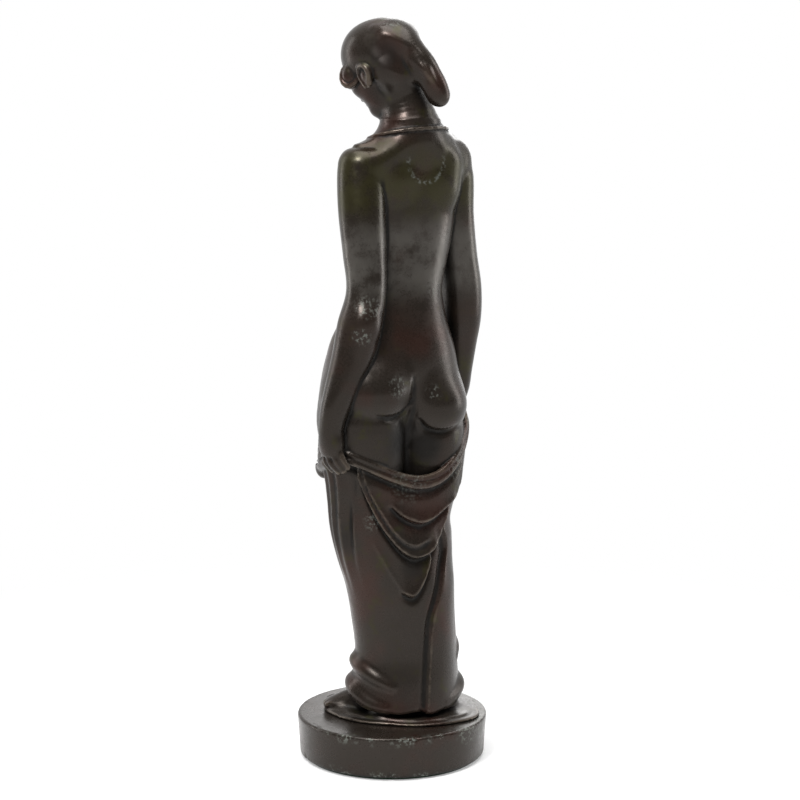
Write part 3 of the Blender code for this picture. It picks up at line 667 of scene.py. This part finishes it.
def model_cloth_rolls(clay):
    slack = (((-40, 52, 2.4, -1.5), (-22, 52, 4, -1.2), (-6, 51, 4.2, -1.6), (14, 48.5, 3.6, -1.6),
        (34, 45, 2.8, -1.6), (50, 42, 1.4, -1.2)), ((-46, 41, 2.8, -1.6), (-28, 40, 4, -0.8),
        (-8, 38, 4.4, -1.4), (8, 35.5, 4, -2), (26, 32.5, 3.2, -2.2), (44, 31, 2, -1.8)),
        ((112, 31, 2.2, -1.4), (128, 33, 3, -1), (146, 35.6, 3.6, -0.6), (164, 38, 3.4, -1),
        (186, 39, 2.4, -1.6)), ((146, 52, 1.6, -1.4), (160, 56, 2.6, -1.2), (178, 60, 2.6, -1.4),
        (196, 62, 1.6, -1.4)))
    for stations in slack:
        clay.add(roll_on_cloth(stations), SKIRT, 2.6)
    for label, start, end in ((BAND_BACK, 14, 203), (BAND_FRONT, 203, 374)):
        rolls = ((2.2, -1.2, 1.6, 0), (-1.3, -0.8, 2.2, 1), (-4.6, -1.6, 1.5, 2))
        for rise, out, radius, wave in rolls:
            path = []
            for bearing in np.linspace(start, end, 44):
                height = float(through(BAND_LINE, np.array(bearing), 360))
                swell = 1 + 0.1 * sin(radians(bearing * 4) + wave)
                lower = 0 if rise > -4 else 3 * (1 - float(ramp(bearing, 95, 135)))
                path.append((*on_cloth(bearing, height + rise + lower, out - 0.6 * lower), radius * swell))
            clay.add(tube(path, smooth=False), label, 0.25)
    clay.add(ball((31.6, -15.4, 154), (4.8, 5, 6)), GATHER, 0.5)
    bunch = ((31.8, -15, 155, 4.4), (35, -8, 157.5, 4.4), (37.4, 0, 159.5, 3.8))
    clay.add(tube(bunch), GATHER, 1)
    clay.carve(tube(((29, -22, 156.6, 0.5), (35.4, -16.5, 156.2, 0.7), (39.8, -7, 158.6, 0.6))), 0.8,
        only=GATHER)


# --- ground ---

def ground(scale, top, wobble):
    """Blunt oval slab of modelled ground."""
    turn = radians(-40)

    def distance(x, y, z):
        long_way = (x + 5) * cos(turn) + (y - 3) * sin(turn)
        short_way = (y - 3) * cos(turn) - (x + 5) * sin(turn)
        angle = np.arctan2(short_way / 30.5, long_way / 41)
        reach = scale * (1 + 0.02 * np.sin(3 * angle) + 0.012 * np.sin(7 * angle + wobble))
        near = np.sqrt((long_way / 41) ** 2 + (short_way / 30.5) ** 2)
        side = (near - reach) * 31
        swell = 0.35 * np.sin(x * 0.21 + wobble) * np.sin(y * 0.17)
        lid = z - top - swell
        return np.maximum(melted(side, lid, 1.6, -1), UNDERSIDE - z)

    return distance, np.array((-46, -34, BASE_TOP - 1)), np.array((38, 42, top + 1))


def model_ground(clay):
    clay.add(ground(1, PLATE_TOP - 1.1, 0.4), PLATE, 0.5)
    clay.add(ground(0.9, PLATE_TOP + 0.1, 1.9), PLATE, 0.8)
    clay.add(ball((-21.5, -22, PLATE_TOP - 2.6), (12.5, 15, 2.9)), PLATE, 3)
    clay.add(ball((19.5, -11, PLATE_TOP - 2), (11.5, 11.5, 4.8)), PLATE, 4)
    # the ground rises under the cloth, over the bar that carries it
    low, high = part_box("mounting_bar")
    y = (low.y + high.y) / 2 / MM
    rise = [(x, y, PLATE_TOP - 1, 8) for x in (low.x / MM + 3.5, high.x / MM - 3.5)]
    clay.add(tube(rise, smooth=False), PLATE, 4)
    feet = ((LEFT_FOOT, (19.5, -8.5), -45, 1), (RIGHT_FOOT, (-19.5, -15), -100, -1))
    for label, (x, y), bearing, inner in feet:
        turn = Matrix.Rotation(radians(bearing), 4, "Z")

        def place(forward, left, height):
            point = turn @ Vector((forward, left * inner, 0))
            return (x + point.x, y + point.y, PLATE_TOP + height)

        clay.add(ball(place(-4, 0, 2.4), (13, 7, 7.4), turn), label, 2)
        clay.add(ball(place(6, 0, 1.4), (8, 6.8, 4.2), turn), label, 3)
        for i in range(5):
            left = -4.8 + 2.5 * i
            length = 14.6 - 0.32 * (i - 1.2) ** 2
            radius = 2.3 if i == 0 else 1.65
            toe = ((*place(length - 7, left, 1.8), radius), (*place(length - 2.6, left * 1.04, 1.9),
                radius), (*place(length, left * 1.04, 1), radius * 0.9))
            clay.add(tube(toe), label, 0.7)

    def below(x, y, z):
        """Everything under the level underside (the zero spreads it over x and y)."""
        return z - UNDERSIDE + 0 * x * y

    clay.carve((below, (-60, -60, UNDERSIDE - 9), (60, 60, UNDERSIDE)), 0.05)


def modelled(steps, low, high, step):
    clay = Sculpt(low, high, step)
    for model in steps:
        model(clay)
    return clay.skins()


def model_all():
    """The whole figure, then head, hair and necklace again on a finer grid."""
    figure = (model_shoulders, model_hips, model_neck, model_head, model_hair, model_arms, model_necklace,
        model_ground, model_cloth, model_cloth_rolls, reach_of_hands)
    bust = (model_shoulders, model_neck, model_head, model_hair, model_necklace)
    return (modelled(figure, (-60, -42, BASE_TOP - 1.5), (54, 40, 390), VOXEL),
        modelled(bust, (-38, -32, 312), (28, 32, 390), BUST_VOXEL))


def reach_of_hands(clay):
    """The left fingers close over the rolled cloth, so they are laid on last."""
    fingers = (((41.6, 4.2, 168, 2.2), (42.6, 7.6, 162, 2.1), (40.9, 11.2, 157.4, 1.7)),
        ((42.2, 8.4, 168.6, 2.2), (42.4, 12, 162, 2.1), (39.6, 15, 157, 1.7)),
        ((41.6, 12.2, 169, 2.2), (40.8, 15.4, 162.6, 2), (38, 17.2, 157.6, 1.6)),
        ((40.2, 14.4, 170, 2.3), (39.2, 17.2, 164, 2), (36.8, 18.8, 159.4, 1.6)))
    clay.add_tubes(fingers, LEFT_ARM, 0.5)


# --- meshes ---

def quad_mesh(name, points, relief, normals, quads):
    """One piece as a mesh, shaded with the normals of the whole skin so that no joint shows."""
    used, index = np.unique(quads, return_inverse=True)
    index = index.reshape(quads.shape)
    mesh = bpy.data.meshes.new(name)
    mesh.from_pydata((points[used] * MM).astype(np.float32), [], index)
    kept = mesh.attributes.new("relief", "FLOAT", "POINT")
    kept.data.foreach_set("value", relief[used].astype(np.float32))
    mesh.validate()
    mesh.shade_smooth()
    mesh.set_sharp_from_angle(angle=CASTING_EDGE)
    corners = points[quads]
    facing = np.cross(corners[:, 2] - corners[:, 0], corners[:, 3] - corners[:, 1])
    facing /= np.maximum(np.linalg.norm(facing, axis=1), 1e-9)[:, None]
    along = (normals[quads] * facing[:, None]).sum(2).mean(1)
    split = normals[quads] * np.sign(along)[:, None, None]
    # faces inside a joint keep their own normals
    split[np.abs(along) < LEVEL_WITH_SKIN] = 0
    mesh.normals_split_custom_set(split.reshape(-1, 3).tolist())
    return mesh


def put(name, data):
    made = bpy.data.objects.new(name, data)
    bpy.context.scene.collection.objects.link(made)
    return made


def show(mesh, finish, nodes):
    mesh.materials.append(finish)
    made = put(mesh.name, mesh)
    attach(made, "root")
    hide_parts(*nodes)


def turned_mesh(name, profile, sides, wear=None):
    """Solid of revolution from a closed (radius, height) outline, up the outside, down the inside."""
    bm = bmesh.new()
    loops = []
    for radius, height in profile:
        ring = []
        for i in range(sides):
            a = 2 * pi * i / sides
            point = Vector((radius * cos(a), radius * sin(a), height))
            if wear:
                point = wear(point)
            ring.append(bm.verts.new(point * MM))
        loops.append(ring)
    for lower, upper in zip(loops, loops[1:] + loops[:1]):
        for i in range(sides):
            after = (i + 1) % sides
            bm.faces.new((lower[i], lower[after], upper[after], upper[i]))
    bmesh.ops.remove_doubles(bm, verts=bm.verts, dist=1e-6)
    bmesh.ops.recalc_face_normals(bm, faces=bm.faces)
    mesh = bpy.data.meshes.new(name)
    bm.to_mesh(mesh)
    bm.free()
    mesh.shade_smooth()
    mesh.set_sharp_from_angle(angle=TURNED_EDGE)
    return mesh


def base_wear(point):
    """Chips and softness along the rim, and the slight waviness of a cast side."""
    radial = Vector((point.x, point.y, 0))
    if radial.length < BASE_RADIUS - 3.4:
        return point
    wave = noise.noise(point * 0.05) * 0.15
    out = (radial.length - (BASE_RADIUS - 3.4)) / 3.4
    near_rim = max(0, 1 - abs(point.z - BASE_TOP) / 2.4) * max(0, min(1, out))
    near_foot = max(0, 1 - abs(point.z - 2.5) / 2.4)
    chip = max(0, noise.noise(point * 0.22 + Vector((7, 3, 1))) - 0.3) * 1.8
    inward = wave - (near_rim + near_foot) * chip
    return point + radial.normalized() * inward - Vector((0, 0, near_rim * chip * 0.4))


def build_base(finish, under_finish):
    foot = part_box("base")[0].z / MM
    inner = BASE_RADIUS - 6
    ceiling = BASE_TOP - 6
    edge = 1.3
    profile = [(inner, foot), (BASE_RADIUS - 2.4, foot)]
    profile += [(BASE_RADIUS - 1.2 - edge * (1 - sin(a)), foot + edge * (1 - cos(a))) for a
        in np.linspace(0.2, pi / 2, 5)]
    profile += [(BASE_RADIUS - 1.2 + 1.2 * t, foot + edge + (BASE_TOP - foot - 2 * edge) * t) for t
        in np.linspace(0.05, 1, 16)]
    profile += [(BASE_RADIUS - edge * (1 - cos(a)), BASE_TOP - edge * (1 - sin(a))) for a
        in np.linspace(0.2, pi / 2, 5)]
    profile += [(BASE_RADIUS - inset, BASE_TOP) for inset in (1.9, 2.5, 3.1)]
    profile += [(radius, BASE_TOP) for radius in np.linspace(BASE_RADIUS - 4, 2.6, 14)]
    profile += [(2.6, ceiling), (inner - 2, ceiling), (inner, ceiling - 2)]
    show(turned_mesh("base_casting", profile, 320, base_wear), finish, ["base"])
    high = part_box("felt_pad")[1]
    thick, outside = high.z / MM, high.x / MM
    pad = [(radius, 0) for radius in (0, 12, 24, 36, outside - 0.4)]
    pad += [(outside, 0.3), (outside, thick - 0.3)]
    pad += [(radius, thick) for radius in (outside - 0.3, 36, 24, 12, 0)]
    show(turned_mesh("felt_disc", pad, 160), under_finish, ["felt_pad"])


# --- materials ---

class Nodes:
    """Helper for node trees: every input is a value or another node's output."""

    def __init__(self, tree, coordinates="Object"):
        self.tree = tree
        self.place = self.node("TexCoord").outputs[coordinates]

    def feed(self, socket, value):
        if isinstance(value, bpy.types.NodeSocket):
            self.tree.links.new(value, socket)
        else:
            socket.default_value = value

    def node(self, kind, feeds=(), **settings):
        """New node, with its settings and then its inputs, from (input, value) pairs."""
        made = self.tree.nodes.new("ShaderNode" + kind)
        for name, value in settings.items():
            setattr(made, name, value)
        for name, value in feeds:
            self.feed(made.inputs[name], value)
        return made

    def noise(self, scale, detail=3, rough=0.55, stretch=None, shift=0):
        place = self.place
        if stretch or shift:
            moved = (("Vector", place), ("Scale", stretch or (1, 1, 1)),
                ("Location", (shift, shift * 0.7, -shift)))
            place = self.node("Mapping", moved).outputs["Vector"]
        feeds = (("Vector", place), ("Scale", scale), ("Detail", detail), ("Roughness", rough))
        return self.node("TexNoise", feeds).outputs["Fac"]

    def range(self, value, low, high, to_low=0, to_high=1, steps="SMOOTHSTEP"):
        feeds = (("Value", value), ("From Min", low), ("From Max", high), ("To Min", to_low),
            ("To Max", to_high))
        return self.node("MapRange", feeds, interpolation_type=steps).outputs["Result"]

    def sum(self, kind, first, second):
        return self.node("Math", ((0, first), (1, second)), operation=kind).outputs[0]

    def times(self, first, *others):
        for other in others:
            first = self.sum("MULTIPLY", first, other)
        return first

    def most(self, first, second):
        return second if first is None else self.sum("MAXIMUM", first, second)

    def off(self, value, centre):
        """How far a value in metres is from one in millimetres."""
        return self.sum("ABSOLUTE", self.sum("SUBTRACT", value, centre * MM), 0)

    def mix(self, amount, first, second):
        feeds = (("Factor", amount), (6, first), (7, second))
        return self.node("Mix", feeds, data_type="RGBA").outputs[2]

    def height(self):
        return self.node("SeparateXYZ", ((0, self.place),)).outputs["Z"]

    def against(self, kind, vector):
        """One number from the place and a fixed vector."""
        return self.node("VectorMath", ((0, self.place), (1, vector)), operation=kind).outputs["Value"]

    def distance_to(self, place):
        return self.against("DISTANCE", [value * MM for value in place])

    def near(self, place, radius, core):
        """Round patch, full from the core's share of its radius inwards."""
        return self.range(self.distance_to(place), radius * MM, radius * core * MM)

    def relief(self, low, high):
        """The skin's own record of its ridges and hollows, in millimetres."""
        return self.range(self.node("Attribute", attribute_name="relief").outputs["Fac"], low, high)

    def bump(self, value, strength, depth, normal=None):
        feeds = [("Strength", strength), ("Distance", depth * MM), ("Height", value)]
        if normal is not None:
            feeds.append(("Normal", normal))
        return self.node("Bump", feeds).outputs["Normal"]


class Shader(Nodes):
    """A material's node tree."""

    def __init__(self, name):
        self.material = bpy.data.materials.new(name)
        self.material.use_nodes = True
        self.surface = self.material.node_tree.nodes["Principled BSDF"]
        super().__init__(self.material.node_tree)

    def finish(self, colour, roughness, metallic, normal, specular=0.5):
        for name, value in (("Base Color", colour), ("Roughness", roughness), ("Metallic", metallic),
                ("Specular IOR Level", specular), ("Normal", normal)):
            self.feed(self.surface.inputs[name], value)
        return self.material


BROWN_BLACK = (0.026, 0.02, 0.0155, 1)
OLIVE = (0.03, 0.0262, 0.009, 1)
RED_BROWN = (0.036, 0.0175, 0.0125, 1)
# lighter grey-brown for a band over the mid-back: painted sheen
PAINTED_SHEEN_GREY_BROWN = (0.08, 0.073, 0.064, 1)
# pale brown for the ridges: wear, and painted highlight
WORN_AND_HIGHLIT = (0.15, 0.12, 0.092, 1)
VERDIGRIS = (0.165, 0.176, 0.156, 1)
PALE_DUST = (0.3, 0.28, 0.22, 1)
# near black for hollows and corners: painted shade, with some grime
SHADE_AND_GRIME_DARK = (0.007, 0.006, 0.005, 1)


class Bronze(Shader):
    """The parts that make up the patina."""

    def browns(self, broad, middle, ruddy, olive, bands):
        """Mottled browns, tinted in bands round given heights."""
        colour = self.mix(self.range(broad, 0.62 - 0.3 * ruddy, 0.78 - 0.2 * ruddy), BROWN_BLACK, RED_BROWN)
        colour = self.mix(self.range(middle, 0.66 - 0.3 * olive, 0.8 - 0.2 * olive), colour, OLIVE)
        for height, reach, tint, strength in bands:
            band = self.range(self.off(self.height(), height), reach * MM, 0.3 * reach * MM)
            patch = self.times(band, self.range(middle, 0.25, 0.6), strength)
            colour = self.mix(patch, colour, tint)
        return colour

    def painted_shade_and_grime(self, shades):
        """Painted shade with some grime: the skin's hollows and corners darkened, and spots of painted
        shade in a few deep places.
        """
        # ambient occlusion darkens corners as painted shade; the skin's hollows darken too, shade with some
        # grime
        corners = self.node("AmbientOcclusion", [("Distance", 10 * MM)], samples=8).outputs["AO"]
        shade_and_grime = self.times(self.most(self.relief(-0.06, -0.34), self.range(corners, 0.7, 0.28)), 0.9)
        # each given place gets a spot of painted shade
        for place, radius, strength in shades:
            shade_and_grime = self.most(shade_and_grime, self.times(self.near(place, radius, 0.3), strength))
        return shade_and_grime

    def verdigris(self, middle, fine, spots, rim):
        """Green bloom in eaten spots and along the base's edges, or None."""
        eaten = self.range(fine, 0.5, 0.62)
        bloom = None
        for place, radius, strength in spots:
            bloom = self.most(bloom, self.times(self.near(place, radius, 0.35), eaten, strength))
        if rim:
            along = self.range(middle, 0.46, 0.66)
            high = self.range(self.height(), (BASE_TOP - 6) * MM, (BASE_TOP - 0.2) * MM)
            foot = self.range(self.height(), 6 * MM, 2 * MM)
            outer = self.range(self.distance_to((0, 0, BASE_TOP)), 44 * MM, 49.5 * MM)
            bloom = self.most(bloom, self.times(self.most(high, foot), along, outer, eaten, rim))
        return bloom

    def crescent(self, fine, ring):
        """Lower part of a pale ring round a place."""
        place, radius, width = ring
        band = self.range(self.off(self.distance_to(place), radius), width * MM, 0.2 * width * MM)
        lower = self.range(self.height(), (place[2] + 5) * MM, (place[2] - 1) * MM)
        return self.times(band, lower, self.range(fine, 0.48, 0.6), 0.6)


def patina(name, ruddy, olive, bands=(), spots=(), shades=(), ring=None, rim=0):
    """Dark bronze patina: mottled browns, worn ridges also lightened as painted highlights, hollows
    darkened as painted shade with some grime, and a few green blooms.
    """
    shader = Bronze(name)
    broad, middle = shader.noise(26, 3), shader.noise(85, 4, 0.6, shift=3)
    fine, grain = shader.noise(620, 3, 0.6), shader.noise(2400, 2, 0.5)
    shade_and_grime = shader.painted_shade_and_grime(shades)
    # hollows and corners mixed towards near black: painted shade with some grime
    colour = shader.mix(shade_and_grime, shader.browns(broad, middle, ruddy, olive, bands), SHADE_AND_GRIME_DARK)
    # ridges lightened: wear, and painted highlight
    worn_and_highlit_ridges = shader.times(shader.relief(0.2, 0.5), shader.range(middle, 0.3, 0.6), 0.4)
    colour = shader.mix(worn_and_highlit_ridges, colour, WORN_AND_HIGHLIT)
    roughness = shader.sum("ADD", shader.times(middle, 0.6), shader.times(fine, 0.4))
    roughness = shader.range(roughness, 0.35, 0.65, 0.23, 0.37)
    roughness = shader.sum("ADD", roughness, shader.times(shade_and_grime, 0.25))
    bloom = shader.verdigris(middle, fine, spots, rim)
    if bloom is not None:
        colour = shader.mix(bloom, colour, VERDIGRIS)
        roughness = shader.sum("ADD", roughness, shader.times(bloom, 0.3))
    if ring:
        colour = shader.mix(shader.crescent(fine, ring), colour, VERDIGRIS)
    dust = shader.range(shader.noise(1500, 2, 0.7, shift=9), 0.7, 0.78)
    colour = shader.mix(shader.times(dust, shader.range(middle, 0.5, 0.68), 0.3), colour, PALE_DUST)
    normal = shader.bump(fine, 0.22, 0.08)
    normal = shader.bump(grain, 0.12, 0.02, normal)
    normal = shader.bump(middle, 0.15, 0.25, normal)
    return shader.finish(colour, roughness, 0.5, normal, 0.36)


def steel_finish():
    shader = Shader("fixing_steel")
    streaks = shader.noise(900, 2, 0.6, stretch=(1, 1, 0.15))
    stain = shader.noise(160, 4)
    colour = shader.mix(shader.range(stain, 0.45, 0.7), (0.3, 0.29, 0.27, 1), (0.16, 0.12, 0.09, 1))
    return shader.finish(colour, shader.range(streaks, 0.3, 0.7, 0.32, 0.55), 1,
        shader.bump(streaks, 0.3, 0.05))


def felt_finish():
    shader = Shader("green_felt")
    fibre = shader.noise(1500, 4, 0.7)
    tuft = shader.noise(300, 3)
    colour = shader.mix(fibre, (0.012, 0.028, 0.018, 1), (0.03, 0.055, 0.036, 1))
    colour = shader.mix(shader.range(tuft, 0.5, 0.8), colour, (0.045, 0.05, 0.04, 1))
    return shader.finish(colour, 0.95, 0, shader.bump(fibre, 0.8, 0.25), 0.2)


# --- scene ---

def build_figure():
    """The castings of figure, cloth and ground."""
    figure, bust = model_all()
    # the grey-brown band over the mid-back is painted sheen; the shades are painted shade between the
    # thighs and in the hollow under the hair ridge
    body = patina("bronze_body", 0.4, 0.35, bands=((302, 26, OLIVE, 0.9), (226, 24, RED_BROWN, 0.3),
        (263, 26, PAINTED_SHEEN_GREY_BROWN, 0.9)), spots=(((-1, 30, 202), 7, 0.8), ((-9, 28, 196), 6, 0.6),
        ((-16, 22, 248), 9, 0.35), ((-24, 16, 258), 6, 0.4), ((12, 29, 200), 8, 0.5),
        ((31, 23, 226), 6, 0.9), ((27, 23, 240), 9, 0.45), ((4, 6, 382), 9, 0.3)),
        shades=(((4, 24, 171), 17, 0.95), ((-6, 24, 167), 14, 0.85), ((2, 20, 156), 12, 0.6),
        ((11, 12, 365), 11, 0.6)), ring=((-9.4, 17.1, 312), 10.5, 1.6))
    # the cloth's shades are painted shade in two hollows of the cloth
    cloth = patina("bronze_cloth", 0.65, 0.3, spots=(((22, 18, 130), 6, 0.5), ((6, 30, 150), 14, 0.35),
        ((-24, 22, 155), 10, 0.3)), shades=(((2, 27, 106), 9, 0.5), ((31, 2, 120), 12, 0.4)))
    ground_finish = patina("bronze_ground", 0.3, 0.4)
    for label, node in NODES.items():
        finish, slot = body, "cast_bronze"
        if label in CLOTH_PIECES:
            finish, slot = cloth, "cloth_bronze"
        elif label in GROUND_PIECES:
            finish, slot = ground_finish, "base_bronze" if label == PLATE else "cast_bronze"
        points, relief, normals, quads = bust if label in BUST_PIECES else figure
        mesh = quad_mesh(node + "_casting", points, relief, normals, quads[label])
        show(mesh, finish, [node])


def dress_fixings():
    """The bolts, pins, washers and bar keep their CAD shapes."""
    steel = steel_finish()
    for name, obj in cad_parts.items():
        if name.startswith(("base_bolt", "washer", "mounting_bar", "hip_pin")) or name.endswith("pin"):
            obj.data.materials.clear()
            obj.data.materials.append(steel)


def pale_floor():
    """White paper that fades into the white surroundings away from the object."""
    paper = Shader("pale_floor")
    tone = paper.mix(paper.noise(3, 2), (0.9, 0.9, 0.895, 1), (0.93, 0.93, 0.93, 1))
    paper.finish(tone, 0.9, 0, paper.bump(paper.noise(400), 0.05, 0.1), 0.1)
    far = paper.range(paper.distance_to((0, 0, 0)), 0.06, 0.45, 0.3, 1)
    glow = paper.node("Emission").outputs[0]
    blend = paper.node("MixShader", enumerate((far, paper.surface.outputs[0], glow)))
    paper.feed(paper.tree.nodes["Material Output"].inputs["Surface"], blend.outputs[0])
    mesh = bpy.data.meshes.new("floor")
    bm = bmesh.new()
    bmesh.ops.create_circle(bm, cap_ends=True, segments=96, radius=6)
    bm.to_mesh(mesh)
    bm.free()
    mesh.materials.append(paper.material)
    put("floor", mesh)


def panel(name, right, toward, height, size, power):
    """Soft box placed to the camera's right and towards it, aimed at the figure's middle."""
    bearing = radians(CAMERA_BEARING)
    place = Vector((right * -sin(bearing) + toward * cos(bearing), right * cos(bearing) + toward
        * sin(bearing), height))
    lamp = bpy.data.lights.new(name, "AREA")
    lamp.shape = "RECTANGLE"
    lamp.size, lamp.size_y = size
    lamp.energy = power
    made = put(name, lamp)
    made.location = place
    made.rotation_euler = (Vector((0, 0, 0.22)) - place).to_track_quat("-Z", "Y").to_euler()


def surroundings():
    """White backdrop for the camera and behind the object, dimmer room behind the camera."""
    world = bpy.data.worlds.new("studio")
    world.use_nodes = True
    room = Nodes(world.node_tree, "Generated")
    bearing = radians(CAMERA_BEARING)
    away = room.against("DOT_PRODUCT", (-cos(bearing), -sin(bearing), 0.15))
    level = room.range(away, -0.2, 0.65, 0.15, 0.95, "LINEAR")
    seen = room.node("LightPath").outputs["Is Camera Ray"]
    backdrop = world.node_tree.nodes["Background"].inputs
    room.feed(backdrop["Color"], (1, 1, 1, 1))
    room.feed(backdrop["Strength"], room.sum("MAXIMUM", level, seen))
    bpy.context.scene.world = world
    bpy.context.scene.view_settings.view_transform = "Standard"


def studio():
    pale_floor()
    for light in (("top_box", 0, 0.15, 1.35, (0.9, 0.9), 14), ("key_box", -0.45, 0.75, 1.25, (0.35, 0.35),
            15), ("right_box", 1.1, -0.3, 0.5, (0.35, 1.2), 6), ("left_box", -1.1, -0.35, 0.45, (0.3, 1.2),
            4), ("far_box", 0.3, -1.3, 0.7, (0.8, 1), 6)):
        panel(*light)
    surroundings()


def camera():
    """Level with the shoulders, a metre off, behind the figure's left shoulder."""
    away, height, bearing, pitch = 1, 0.333, radians(CAMERA_BEARING), radians(8.2)
    lens = bpy.data.cameras.new("camera")
    lens.sensor_width = 36
    lens.lens = 87.5
    lens.clip_start = 0.05
    lens.shift_x = 0.01
    made = put("camera", lens)
    made.location = (away * cos(bearing), away * sin(bearing), height)
    made.rotation_euler = (pi / 2 - pitch, 0, bearing + pi / 2)
    bpy.context.scene.camera = made


build_figure()
build_base(patina("bronze_base", 0.3, 0.3, rim=1, bands=((12, 22, BROWN_BLACK, 0.9),),
    spots=(((-20, 46, 21), 10, 0.7), ((-33, 37, 21), 13, 0.75), ((-42, 24, 20), 12, 0.7),
    ((-46, 10, 20), 9, 0.6), ((16, 47, 22), 4, 1), ((0, 49, 22.5), 3, 1))), felt_finish())
dress_fixings()
studio()
camera()
